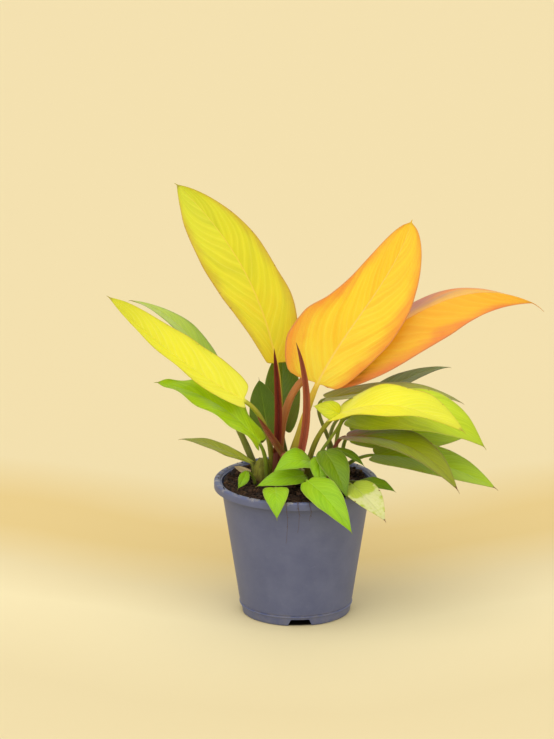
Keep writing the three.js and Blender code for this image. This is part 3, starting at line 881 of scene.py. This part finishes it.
# Leaves: half widths as shares of the widest, at these shares of the length from the base
stations = (0, 0.03, 0.08, 0.16, 0.28, 0.42, 0.56, 0.7, 0.82, 0.91, 0.97, 1)
halfWidthsAt = {
    "oblong": (0.25, 0.5, 0.72, 0.88, 0.97, 1, 0.95, 0.79, 0.56, 0.31, 0.12, 0.015),
    "tapered": (0.2, 0.28, 0.4, 0.56, 0.77, 0.95, 1, 0.9, 0.71, 0.42, 0.17, 0.015),
    "waisted": (0.3, 0.5, 0.7, 0.88, 0.97, 0.87, 0.83, 0.69, 0.49, 0.29, 0.12, 0.015),
    "shouldered": (0.42, 0.65, 0.86, 1, 0.97, 0.74, 0.6, 0.51, 0.41, 0.29, 0.15, 0.015),
    "blunt": (0.26, 0.4, 0.53, 0.64, 0.75, 0.82, 0.79, 0.66, 0.49, 0.32, 0.16, 0.015),
    "hooked": (0.34, 0.62, 0.82, 0.92, 0.95, 0.9, 0.74, 0.47, 0.24, 0.13, 0.07, 0.015),
}
outlines = {name: list(zip(stations, widths)) for name, widths in halfWidthsAt.items()}
outlines["broad"] = [(0, 0.34), (0.03, 0.64), (0.08, 0.85), (0.16, 0.96), (0.26, 1), (0.4, 0.98)]
outlines["broad"] += [(0.55, 0.88), (0.7, 0.74), (0.82, 0.54), (0.91, 0.32), (0.97, 0.13), (1, 0.015)]
outlines["ovate"] = [(0, 0.2), (0.05, 0.55), (0.15, 0.88), (0.3, 1), (0.5, 0.9), (0.7, 0.62)]
outlines["ovate"] += [(0.86, 0.32), (0.95, 0.12), (1, 0.02)]
outlines["lance"] = [(0, 0.2), (0.08, 0.5), (0.2, 0.8), (0.38, 1), (0.58, 0.93), (0.76, 0.62)]
outlines["lance"] += [(0.9, 0.28), (1, 0.02)]
outlines["spear"] = [(0, 0.95), (0.2, 1), (0.45, 0.92), (0.7, 0.72), (0.88, 0.42), (1, 0.04)]

# Lengths in millimetres, angles in degrees. Pairs are foot and top, near and far, or left and right.
bigLeaf = dict(
    outline=("oblong", "oblong"), fold=(12, 12), lobe=(6, 6), bow=(0, 0), sway=(0, 0),
    stalk=(2.6, 1.7), rise=(0, 0, 1), neck=0.3, stalkRings=16,
    ribTaper=0.85,  # how much the midrib thins on its way to the tip
    lobeShare=0.2,  # how much of the length the lobes take up
    droop=0.35,  # how far the blade flattens towards its margins
    wave=0, waves=2, ruffle=0.9, veins=15, quilt=0.28,
    thin=0.24,  # half the blade's thickness at the midrib
    drip=3,  # the thread at the tip
    rows=72, outer=11, slot="leaf_yellow",
)
smallLeaf = dict(
    bigLeaf, outline=("ovate", "ovate"), lobe=(2, 2), stalk=(1.5, 0.9), ruffle=0.5, veins=9, quilt=0.16,
    thin=0.2, drip=1.5, rows=40, outer=8, slot="leaf_lime",
)
sheath = dict(
    bigLeaf, outline=("spear", "spear"), lobe=(0, 0), fold=(50, 50), droop=0, stalk=(3.2, 2.6),
    ruffle=0.15, quilt=0, thin=0.22, drip=0.5, rows=44, outer=8, slot="sheath_red",
)

# What a leaf is painted with. Numbers are how strongly each part shows.
yellowLook = dict(
    low=(232, 204, 30), mid=(232, 222, 34), high=(208, 214, 34), midAt=0.45, trough=(196, 192, 24),
    troughShow=0.6, vein=(250, 240, 90), veinShow=0.22, rib=(244, 214, 80), ribShow=0.65,
    edge=(200, 168, 44), edgeShow=0.8, edgeReach=0.34, line=(190, 140, 60), under=(190, 192, 70),
    stalkLow=(120, 124, 30), stalkHigh=(206, 190, 60), burn=0.5, patch=(232, 230, 160), patchShow=0,
    sheen=(206, 170, 150), sheenShow=0, gloss=0.36, scorched=(128, 86, 48),
)
goldLook = dict(
    yellowLook, low=(251, 218, 62), mid=(254, 212, 38), high=(252, 202, 36), trough=(248, 176, 22),
    troughShow=0.5, vein=(255, 236, 100), rib=(250, 212, 110), edge=(244, 144, 48), edgeShow=0.95,
    edgeReach=0.44, line=(204, 132, 84), under=(222, 150, 60), stalkHigh=(240, 200, 70),
    stalkLow=(150, 150, 40), burn=0.2,
)
# low is painted shade, the golden leaf's shadow on the foot of the blade; the sheen is a painted mauve
# reflection along the upper half
orangeLook = dict(
    goldLook, low=(136, 92, 22), mid=(251, 190, 36), high=(250, 180, 36), midAt=0.26,
    trough=(240, 158, 26), vein=(255, 208, 80), rib=(240, 168, 84), edge=(238, 126, 62), edgeReach=0.42,
    under=(196, 122, 70), stalkLow=(160, 90, 44), stalkHigh=(208, 140, 74), sheen=(186, 132, 120),
    sheenShow=0.85,
)
lemonLook = dict(
    yellowLook, low=(253, 246, 70), mid=(248, 240, 52), high=(220, 220, 44), trough=(226, 222, 42),
    troughShow=0.45, vein=(255, 252, 130), veinShow=0.3, rib=(250, 236, 90), ribShow=0.5,
    edge=(214, 216, 48), line=(206, 160, 60), stalkLow=(120, 116, 40), stalkHigh=(190, 188, 56),
    edgeReach=0.3, edgeShow=0.7,
)
limeLook = dict(
    yellowLook, low=(206, 226, 40), mid=(208, 226, 28), high=(190, 212, 22), trough=(158, 188, 12),
    troughShow=0.5, vein=(222, 236, 90), rib=(214, 226, 90), ribShow=0.5, edge=(176, 196, 40),
    line=(196, 190, 90), under=(176, 196, 80), stalkLow=(110, 120, 30), stalkHigh=(170, 186, 50),
)
greenLook = dict(
    limeLook, low=(160, 200, 20), mid=(158, 204, 14), high=(148, 194, 14), trough=(108, 160, 4),
    vein=(184, 220, 60), rib=(180, 214, 70), edge=(128, 172, 20), line=(192, 204, 100),
    under=(150, 176, 86), stalkLow=(96, 104, 26), stalkHigh=(140, 162, 40), gloss=0.3,
)
waveLook = dict(
    greenLook, low=(186, 218, 24), mid=(190, 226, 20), high=(170, 212, 18), trough=(132, 182, 8),
    edge=(150, 192, 24),
)
sproutLook = dict(
    limeLook, low=(230, 226, 44), mid=(224, 224, 40), high=(206, 206, 50), line=(206, 150, 70),
)
darkLook = dict(
    greenLook, low=(116, 142, 12), mid=(120, 152, 8), high=(110, 146, 8), trough=(80, 118, 2),
    vein=(146, 172, 46), rib=(146, 172, 50), edge=(96, 126, 20), line=(170, 178, 90),
    under=(128, 148, 84), stalkLow=(96, 88, 26), stalkHigh=(110, 124, 34),
)
paintedShadeLook = dict(  # painted shade: the leaves behind the sheaths, darker than the dark look
    darkLook, low=(112, 120, 24), mid=(96, 126, 18), high=(88, 116, 22),
)
# darker olive towards the foot is partly the leaf's own tone and partly painted shade
moderateLook = dict(
    greenLook, low=(150, 166, 14), mid=(160, 188, 14), high=(176, 204, 34), trough=(124, 156, 4),
    edge=(142, 168, 20), line=(176, 176, 84), burn=1,
)
oliveLook = dict(
    darkLook, low=(190, 192, 40), mid=(172, 178, 44), high=(154, 154, 74), trough=(128, 140, 30),
    vein=(190, 196, 110), rib=(190, 194, 110), edge=(140, 146, 50), line=(150, 130, 90),
    under=(160, 166, 100), stalkLow=(110, 112, 40), stalkHigh=(150, 156, 64),
)
greyLook = dict(
    oliveLook, low=(112, 130, 70), mid=(128, 146, 84), high=(140, 156, 96), trough=(100, 120, 62),
    edge=(110, 120, 70), line=(130, 120, 90), under=(136, 152, 110),
)
freshLook = dict(
    greyLook, low=(140, 174, 44), mid=(168, 196, 60), high=(196, 208, 88), trough=(128, 164, 40),
    edge=(140, 170, 70), under=(176, 190, 120),
)
redLook = dict(
    darkLook, low=(188, 104, 86), mid=(156, 168, 16), high=(150, 154, 24), midAt=0.36,
    trough=(124, 140, 8), vein=(160, 166, 60), rib=(146, 120, 60), edge=(118, 122, 36),
    line=(150, 134, 80), under=(140, 124, 70), stalkLow=(120, 60, 36), stalkHigh=(164, 82, 60), burn=1,
)
paleLook = dict(  # worn: cream patches and a scorched margin
    limeLook, low=(176, 200, 56), mid=(190, 206, 70), high=(214, 214, 120), trough=(170, 188, 60),
    patch=(230, 226, 168), patchShow=0.8, rib=(206, 214, 110), burn=2,
)
maroonLook = dict(
    redLook, low=(112, 42, 28), mid=(128, 46, 32), high=(120, 44, 28), trough=(76, 26, 14),
    troughShow=0.8, vein=(166, 84, 60), veinShow=0.3, rib=(92, 32, 18), edge=(150, 78, 50),
    under=(110, 44, 26), line=(110, 56, 34), stalkLow=(110, 70, 34), stalkHigh=(116, 46, 30), burn=0,
)
rustLook = dict(
    maroonLook, low=(170, 84, 62), mid=(178, 100, 68), high=(132, 66, 44), trough=(146, 70, 50),
    vein=(210, 146, 110), rib=(160, 86, 56), edge=(190, 120, 88), under=(150, 86, 54),
    stalkLow=(150, 104, 50), stalkHigh=(172, 92, 62),
)
brownLook = dict(
    rustLook, low=(132, 104, 44), mid=(156, 92, 60), high=(136, 70, 50), trough=(110, 70, 36),
    edge=(150, 110, 60),
)
dryLook = dict(
    rustLook, low=(206, 184, 140), mid=(212, 194, 152), high=(196, 168, 122), trough=(170, 140, 96),
    vein=(226, 212, 178), rib=(180, 150, 104), edge=(190, 160, 110), under=(186, 160, 116),
    stalkLow=(140, 110, 70), stalkHigh=(190, 164, 118), gloss=0.7,
)

leaves = [
    dict(
        bigLeaf, name="leaf_upper_left", look=yellowLook, outline=("tapered", "waisted"), width=51,
        foot=at(-12, 21, 4), base=at(-14.5, 20, 86), tip=at(-87, 62, 210), face=(0, -1, 0.3),
        bow=(4, 8), sway=(17, 16), lobe=(3, 5), ruffle=2.4,
    ),
    dict(
        bigLeaf, name="leaf_upper_right", look=goldLook, slot="leaf_golden",
        outline=("shouldered", "blunt"), width=74, foot=at(-8, 3, 5), base=at(15.5, 4, 75),
        tip=at(84, 44, 186), face=(0, -1, 0.3), bow=(4, 6), sway=(-4, 11), rise=(0.4, 0, 1),
        stalk=(4.2, 1.9), lobe=(6, 2), ruffle=2,
    ),
    dict(
        bigLeaf, name="leaf_right", look=orangeLook, slot="leaf_orange", width=54, foot=at(-13, 10, 5),
        base=at(14, 14, 81), tip=at(174, 50, 124), face=(0, -0.9, 1), bow=(6, 44), sway=(-1, -27),
        fold=(-50, -20), stalk=(3.6, 2.5), lobe=(3, 3), ruffle=1.6, drip=11,
    ),
    dict(
        bigLeaf, name="leaf_left", look=lemonLook, outline=("broad", "broad"), width=38,
        foot=at(-17, 8, 4), base=at(-38, -5, 65), tip=at(-133, -40, 151), face=(0.3, -0.6, 1),
        bow=(-4, -4), sway=(-4, -4), fold=(24, 30), lobe=(3, 4), ruffle=1.6,
    ),
    dict(
        bigLeaf, name="leaf_front_right", look=lemonLook, outline=("broad", "hooked"), width=44,
        foot=at(8, 0, 4), base=at(31, -6, 55), tip=at(118, -62, 59), face=(0, -0.4, 1), bow=(18, 20),
        lobe=(9, 7), ruffle=2.2,
    ),
    dict(
        bigLeaf, name="leaf_left_behind", look=freshLook, slot="leaf_olive", outline=("lance", "lance"),
        width=26, foot=at(-28, 15, 2), base=at(-48, 22, 50), tip=at(-121, 60, 123), face=(0, 0, 1),
        bow=(16, 26), rise=(-0.3, 0, 1), stalk=(3, 2.2),
    ),
    dict(
        bigLeaf, name="leaf_left_wavy", look=waveLook, slot="leaf_green", width=32, foot=at(-21, -4, 2),
        base=at(-27, -8, 34), tip=at(-100, -14, 81), face=(0, -0.4, 1), bow=(14, 14), stalk=(2.2, 1.3),
        ruffle=2.4, wave=2, waves=3,
    ),
    dict(
        bigLeaf, name="leaf_back_left", look=paintedShadeLook, slot="leaf_dark", outline=("broad", "broad"),
        width=24, foot=at(-18, 24, 2), base=at(-20, 26, 28), tip=at(-27, 38, 68), face=(0, -1, 0.3),
        stalk=(2, 1.2),
    ),
    dict(
        bigLeaf, name="leaf_back_middle", look=paintedShadeLook, slot="leaf_dark", width=27, foot=at(-6, 26, 2),
        base=at(-10, 31, 33), tip=at(-10, 54, 89), face=(0, -1, 0.3), stalk=(2, 1.2),
    ),
    dict(
        bigLeaf, name="leaf_far_left", look=oliveLook, slot="leaf_olive", outline=("lance", "lance"),
        width=12, foot=at(-31, 6, 2), base=at(-34, 7, 15), tip=at(-84, 24, 27), face=(0, -0.3, 1),
        bow=(2, 6), stalk=(1.8, 1),
    ),
    dict(
        bigLeaf, name="leaf_back_right_high", look=greyLook, slot="leaf_dark",
        outline=("lance", "lance"), width=18, foot=at(24, 15, 2), base=at(34, 34, 42),
        tip=at(113, 60, 72), face=(0, -0.3, 1), bow=(4, 12), stalk=(2, 1.2),
    ),
    dict(
        bigLeaf, name="leaf_back_right_low", look=oliveLook, slot="leaf_olive", width=26,
        foot=at(31, 17, 2), base=at(22, 17, 60), tip=at(120, 8, 60), face=(0, -0.1, 1), bow=(7, 13),
        stalk=(2, 1.2),
    ),
    dict(
        bigLeaf, name="leaf_right_lime", look=limeLook, slot="leaf_lime", width=44, foot=at(29, 5, 2),
        base=at(40, 9, 49), tip=at(136, -18, 34), face=(0, -0.6, 1), bow=(14, 38), stalk=(2, 1.3),
    ),
    dict(
        bigLeaf, name="leaf_right_green", look=moderateLook, slot="leaf_green", width=34,
        foot=at(34, 7, 2), base=at(42, 19, 32), tip=at(125, 24, 29), face=(0, -0.8, 1), bow=(4, 4),
        stalk=(2, 1.2),
    ),
    dict(
        bigLeaf, name="leaf_right_lower", look=moderateLook, slot="leaf_green", width=34,
        foot=at(30, -4, 2), base=at(57, -6, 24), tip=at(144, -22, 4), face=(0, -0.4, 1), bow=(10, 10),
        stalk=(2, 1.1),
    ),
    dict(
        bigLeaf, name="leaf_right_red", look=redLook, slot="leaf_red", width=32, foot=at(24, -2, 2),
        base=at(36, -3, 37), tip=at(115, -58, 14), face=(0, -0.2, 1), bow=(16, 26), stalk=(2.2, 1.3),
    ),
    dict(
        smallLeaf, name="leaf_small_lime", look=sproutLook, width=15, foot=at(10, -6, 3),
        base=at(31, -9, 56), tip=at(13, -13, 63), face=(0, -1, 0.6), bow=(4, 2), ruffle=1.4,
    ),
    dict(
        smallLeaf, name="leaf_small_middle", look=greenLook, slot="leaf_green", width=22,
        foot=at(12, -10, 2), base=at(11, -14, 21), tip=at(-16, -34, 20), face=(0, -0.7, 1), bow=(8, 8),
        ruffle=1,
    ),
    dict(
        smallLeaf, name="leaf_small_low", look=greenLook, slot="leaf_green", width=18,
        foot=at(8, -16, 1), base=at(6, -18, 12), tip=at(-28, -34, 9), face=(0, -0.7, 1), bow=(3, 3),
    ),
    dict(
        smallLeaf, name="leaf_small_rim_left", look=greenLook, slot="leaf_green", width=19,
        foot=at(-9, -27, 1), base=at(-15, -42, 10), tip=pastRim(-101, 13, -7.5), face=(0, -1, 0.6),
        bow=(6, 7), rise=(-0.3, -1, 0.6),
    ),
    dict(
        smallLeaf, name="leaf_small_rim_middle", look=greenLook, slot="leaf_green", width=24,
        foot=at(12, -23, 1), base=at(8, -38, 14), tip=pastRim(-63, 26, -16), face=(0.2, -1, 0.8),
        bow=(9, 9), ruffle=1,
    ),
    dict(
        smallLeaf, name="leaf_small_upright", look=greenLook, slot="leaf_green", width=14,
        foot=at(18, -14, 1), base=at(16, -20, 26), tip=at(18, -40, 9), face=(0, -1, 1), bow=(3, 4),
    ),
    dict(
        smallLeaf, name="leaf_small_right", look=darkLook, slot="leaf_green", width=22,
        foot=at(20, -10, 1), base=at(21, -16, 30), tip=at(36, -52, 6.5), face=(0.2, -1, 1), bow=(5, 6),
    ),
    dict(
        smallLeaf, name="leaf_small_rim_right", look=paleLook, width=24, foot=at(28, -18, 1),
        base=at(40, -34, 10), tip=pastRim(-46, 31, -11), face=(0.3, -1, 1), bow=(4, 5),
    ),
    dict(
        smallLeaf, name="leaf_small_edge", look=darkLook, slot="leaf_dark", outline=("lance", "lance"),
        width=12, foot=at(34, -12, 1), base=at(46, -20, 8), tip=at(71, -34, 5), face=(0, -0.4, 1),
        bow=(3, 3),
    ),
    dict(
        smallLeaf, name="leaf_small_on_mix", look=greenLook, slot="leaf_green",
        outline=("lance", "lance"), width=8, foot=at(-30, -4, 1), base=at(-36, -10, 12),
        tip=at(-42, -20, 3), face=(0.3, -1, 0.6), bow=(2, 2), stalk=(1.2, 0.8),
    ),
    dict(
        smallLeaf, name="leaf_small_dark", look=darkLook, slot="leaf_dark", outline=("lance", "lance"),
        width=8, foot=at(27, -7, 2), base=at(29, -11, 30), tip=at(49, -16, 19), face=(0, -0.4, 1),
        bow=(3, 3), stalk=(1.2, 0.8),
    ),
    dict(
        sheath, name="sheath_tall_left", look=maroonLook, width=9, foot=at(-15, -1, 3),
        base=at(-14, 1, 24), tip=at(-16, 9, 100), face=(0, -1, 0.2), sway=(3, 2), stalk=(2.6, 2.4),
    ),
    dict(
        sheath, name="sheath_tall_right", look=rustLook, width=9, foot=at(0, -7, 3), base=at(3, -8, 26),
        tip=at(0, -4, 108), face=(0, -1, 0.2), sway=(8, 8),
    ),
    dict(
        sheath, name="sheath_short", look=brownLook, width=8, foot=at(-7, -4, 3), base=at(-10, -4, 25),
        tip=at(-28, -9, 54), face=(0, -1, 0.2),
    ),
    dict(
        sheath, name="sheath_dry", look=dryLook, slot="sheath_dry", width=6, foot=at(-31, 1, 4),
        base=at(-34, 2, 7), tip=at(-45, 4, 12), face=(0, -1, 1), fold=(25, 25), stalk=(1.2, 1), rows=24,
    ),
]


# Light goes a little way into a blade, and its skin has a thin wax
leafSkin = {
    "Subsurface Weight": 0.3,
    "Subsurface Radius": (1, 0.8, 0.25),
    "Subsurface Scale": 1.2 * mm,
    "Specular IOR Level": 0.28,
    "Coat Weight": 0.06,
    "Coat Roughness": 0.25,
}


def leafFinish(name, look, veinWidth, seed):
    f = Finish(name)
    tint = {key: paint(*value) for key, value in look.items() if isinstance(value, tuple)}

    def shown(blade, part, mask):
        return f.blend(mask * look[part + "Show"], blade, tint[part])

    across, along, upper = f.stored("bladeAt")
    count, offRib, length = f.stored("veinAt")
    side = abs(across)
    grain = f.vector(offRib + seed, length, upper * 0.01)
    broad = f.noise(grain, 45, 3)
    fine = f.noise(grain, 420, 2)
    cells = f.noise(grain, 2400, 1)
    # tones that follow the side veins: wide ones, then one for each vein
    wash = f.noise(f.vector(count * 0.55 + seed * 5, offRib * 30, 0), 1.1, 2, 0.5)
    streaks = f.noise(f.vector(count * 1.9 + seed * 7, offRib * 45, 0), 1.2, 3, 0.6)
    tone = along + (broad - 0.5) * 0.4 + (wash - 0.5) * 0.5
    stops = [(0, tint["low"]), (look["midAt"], tint["mid"]), (1, tint["high"])]
    blade = f.ramp(tone, stops)
    crest = abs((count * math.pi).sine())  # 0 along each side vein
    between = f.band(wash, 0.42, 0.7) * 0.6 + f.band(streaks + crest * 0.2, 0.5, 0.85) * 0.4
    blade = shown(blade, "trough", between)
    veinLine = (1 - crest) ** 2.5
    fading = 1 - f.band(side, 0.55, 1)
    veinTone = veinLine * (0.3 + 0.7 * fading) * (0.3 + f.band(streaks, 0.3, 0.7))
    blade = shown(blade, "vein", veinTone)
    edgeMask = f.band(side + (broad - 0.5) * 0.35 + (wash - 0.5) * 0.3, 1 - look["edgeReach"], 1.08)
    blade = shown(blade, "edge", edgeMask)
    # painted sheen: a reflection painted over the left half towards the foot of the blade
    leftSide = f.band(across * -1 + (broad - 0.5) * 0.4, 0.1, 0.7)
    lower = 1 - f.band(along + (wash - 0.5) * 0.3, 0.5, 0.8)
    blade = shown(blade, "sheen", leftSide * lower)
    ribMask = 1 - f.band(offRib / (1.06 - along), veinWidth * 0.15, veinWidth * 0.7)
    blade = shown(blade, "rib", ribMask)
    patchMask = f.band(f.noise(grain, 70, 3, 0.6) + along * 0.12 - 0.06, 0.48, 0.6)
    blade = shown(blade, "patch", patchMask)
    blade = f.blend(f.band(side, 0.95, 0.99) * 0.6, blade, tint["line"])
    under = f.blend(ribMask * 0.7, f.blend(0.45, blade, tint["under"]), tint["rib"])
    blade = f.blend(upper, under, blade)
    spots = f.band(fine + (broad - 0.5) * 0.3, 0.62, 0.68) * f.band(side, 0.86, 0.99)
    scorch = f.band(along + (fine - 0.5) * 0.05, 0.965, 1.0).larger(spots) * look["burn"]
    blade = f.blend(f.band(scorch, 0, 1), blade, tint["scorched"])
    stalk = f.blend(along + 1 + (broad - 0.5) * 0.6, tint["stalkLow"], tint["stalkHigh"])
    stalkMask = 1 - f.band(along, -0.03, 0.015)
    colour = f.blend(stalkMask, blade, stalk)
    ridges = f.noise(f.vector(across * 9, length * 12, seed), 1, 2) * 0.0002  # along the stalk
    height = (veinLine * -0.00012 + streaks * 0.00012) * (1 - stalkMask) + ridges * stalkMask
    height = height + fine * 0.00004 + cells * 0.00002
    rough = look["gloss"] + broad * 0.14 + veinLine * 0.04 + fine * 0.08
    return f.surface(colour, rough, height, leafSkin)


def leafPiece(leaf, number):
    base, tip, foot = leaf["base"], leaf["tip"], leaf["foot"]
    chord = tip - base
    span = np.linalg.norm(chord)
    alongWay = chord / span
    acrossWay = unit(np.cross(alongWay, np.array(leaf["face"], float)))
    up = np.cross(acrossWay, alongWay)
    (bowLow, bowHigh), (swayLow, swayHigh) = leaf["bow"], leaf["sway"]
    handles = [
        base,
        base + chord / 3 + up * bowLow * mm + acrossWay * swayLow * mm,
        base + chord * 2 / 3 + up * bowHigh * mm + acrossWay * swayHigh * mm,
        tip,
    ]
    reach = np.linalg.norm(base - foot)
    firstWay = unit(handles[1] - handles[0])
    stalkHandles = [
        foot,
        foot + unit(np.array(leaf["rise"], float)) * 0.4 * reach,
        base - firstWay * leaf["neck"] * reach,
        base,
    ]
    outer = leaf["outer"]
    sideShares = np.concatenate([[0, 0.35, 0.7, 1], 1 + np.append(np.linspace(0, 0.97, outer)[1:], 1)])
    perSide = len(sideShares)
    columns = 2 * perSide - 1
    stalkFoot, stalkTop = (radius * mm for radius in leaf["stalk"])

    # stalk rings, flattened a little on top
    stalkShares = np.linspace(0, 0.985, leaf["stalkRings"])
    centres, ways = bezier(stalkHandles, stalkShares)
    angles = math.pi * (1 - (np.arange(2 * columns) + 0.5) / columns)
    rings = []
    bladeAt = []
    veinAt = []
    for share, centre, way in zip(stalkShares, centres, ways):
        lift = unit(np.cross(acrossWay, way))
        sideWay = np.cross(way, lift)
        radius = stalkFoot + (stalkTop - stalkFoot) * share
        radius *= 1 + 0.03 * math.sin(23 * share + number)
        high = np.sin(angles)
        flat = np.where(high > 0, 0.8 * high - 0.12 * high**8, high)
        rings.append(centre + radius * (np.cos(angles)[:, None] * sideWay + flat[:, None] * lift))
        bladeAt.append([(math.cos(a), share - 1, 1.0 if a > 0 else 0.0) for a in angles])
        veinAt.append([(0, abs(radius * math.cos(a)), share * reach - reach) for a in angles])

    # blade rows, closer together near both ends
    nearBase = np.linspace(0, 0.05, 9)[:-1]
    nearTip = np.linspace(0.94, 1, 11)[1:]
    between = np.linspace(0.05, 0.94, leaf["rows"] - len(nearBase) - len(nearTip))
    shares = np.concatenate([nearBase, between, nearTip])
    centres, ways = bezier(handles, shares)
    normals = unit(np.cross(acrossWay, ways))
    sides = np.cross(ways, normals)
    half = np.array([eased(outlines[outline], shares) for outline in leaf["outline"]])  # left, right
    opening = ease(shares, 0, 0.03) if leaf["lobe"][0] else np.ones(len(shares))
    ribs = stalkTop * (1 - leaf["ribTaper"] * shares)
    halfWidths = leaf["width"] / 2 * mm * half
    halfWidths = np.maximum(ribs * 1.05 + (halfWidths - ribs) * opening, 0.15 * mm)
    ribs = np.minimum(ribs, 0.45 * halfWidths.min(axis=0))
    swept = mm * np.maximum(0, 1 - shares / leaf["lobeShare"]) ** 2 * ease(shares, 0, 0.025)
    slant = 0.5 * leaf["width"] * mm / span
    for row, share in enumerate(shares):
        rib = ribs[row]
        left, right = (
            np.where(sideShares <= 1, sideShares * rib, rib + (wide - rib) * (sideShares - 1))
            for wide in halfWidths[:, row]
        )
        signed = np.concatenate([-left[::-1], right[1:]])
        v = signed / np.where(signed < 0, *halfWidths[:, row])
        lobe = np.where(signed < 0, *leaf["lobe"])
        hand = np.sign(v)
        size = np.abs(v)
        calm = min(1, 4 * half[0, row])  # margins lie still where the blade is narrow
        fold = np.radians(np.where(v < 0, *leaf["fold"])) * (1 - leaf["droop"] * size / 2)
        out = np.abs(signed)
        ripple = np.sin(2 * math.pi * (leaf["waves"] * share + 0.25 * hand))
        ripple = leaf["wave"] * mm * v**2 * ripple * calm
        curl = np.array([noise.noise(Vector((share * 5 + number, h * 3, number * 1.7))) for h in hand])
        ripple = ripple + leaf["ruffle"] * mm * size**3 * curl * calm
        stray = np.array([noise.noise(Vector((share * 7 + number, h * 5, 3))) for h in hand])
        count = leaf["veins"] * (share - slant * (1.3 * size + 0.8 * size**3) + 0.5)
        count = count + 0.5 * (hand > 0) + 0.6 * stray
        if not leaf["quilt"]:
            count = 3 * v + 0.4 * share + 0.3 * stray  # a sheath's veins run its whole length
        puff = leaf["quilt"] * mm * (np.abs(np.sin(math.pi * count)) - 0.6)
        puff = puff * ease(out, rib, 2.5 * rib + 1e-9) * (1 - size**4)
        puff = puff * ease(share, 0, 0.08) * (1 - ease(share, 0.8, 1))
        lift = out * np.sin(fold) + ripple + puff
        spine = centres[row] + np.outer(hand * out * np.cos(fold), sides[row])
        spine = spine + np.outer(lift, normals[row]) - np.outer(swept[row] * lobe * size**1.5, ways[row])
        thin = leaf["thin"] * mm * (1 - 0.55 * size**2)
        groove = 0.3 * mm * np.exp(-((out / (0.8 * rib + 1e-9)) ** 2)) * (1 - share) * ease(share, 0, 0.1)
        keel = np.sqrt(np.maximum(0, 1 - (out / (rib + 1e-9)) ** 2)) * rib
        top = spine + np.outer(thin - groove, normals[row])
        under = spine - np.outer(thin + keel, normals[row])
        rings.append(np.concatenate([top, under[::-1]]))
        bladeAt.append([(a, share, 1) for a in v] + [(a, share, 0) for a in v[::-1]])
        veinRow = list(zip(count, out, np.full(columns, share * span)))
        veinAt.append(veinRow + veinRow[::-1])

    # the thread at the tip
    drip = leaf["drip"] * mm
    endRing, endBlade, endVein = rings[-1], bladeAt[-1], veinAt[-1]
    for step in (0.3, 0.65, 1):
        shrink = 1 - 0.6 * step
        middle = centres[-1] + ways[-1] * drip * step - np.array([0, 0, 0.25 * drip * step**2])
        rings.append(middle + (endRing - centres[-1]) * shrink)
        bladeAt.append(endBlade)
        veinAt.append(endVein)

    faces = loftFaces(len(rings), 2 * columns)
    finishName = leaf["name"].replace("leaf", "blade")
    material = leafFinish(finishName, leaf["look"], stalkTop, number * 0.37)
    piece = meshPiece(leaf["name"] + "_grown", np.concatenate(rings), faces, material)
    keep(piece, "bladeAt", np.concatenate([np.array(row, float) for row in bladeAt]))
    keep(piece, "veinAt", np.concatenate([np.array(row, float) for row in veinAt]))
    stand(piece, leaf["slot"], leaf["name"])


for number, leaf in enumerate(leaves):
    leafPiece(leaf, number)
print("leaves and sheaths grown")
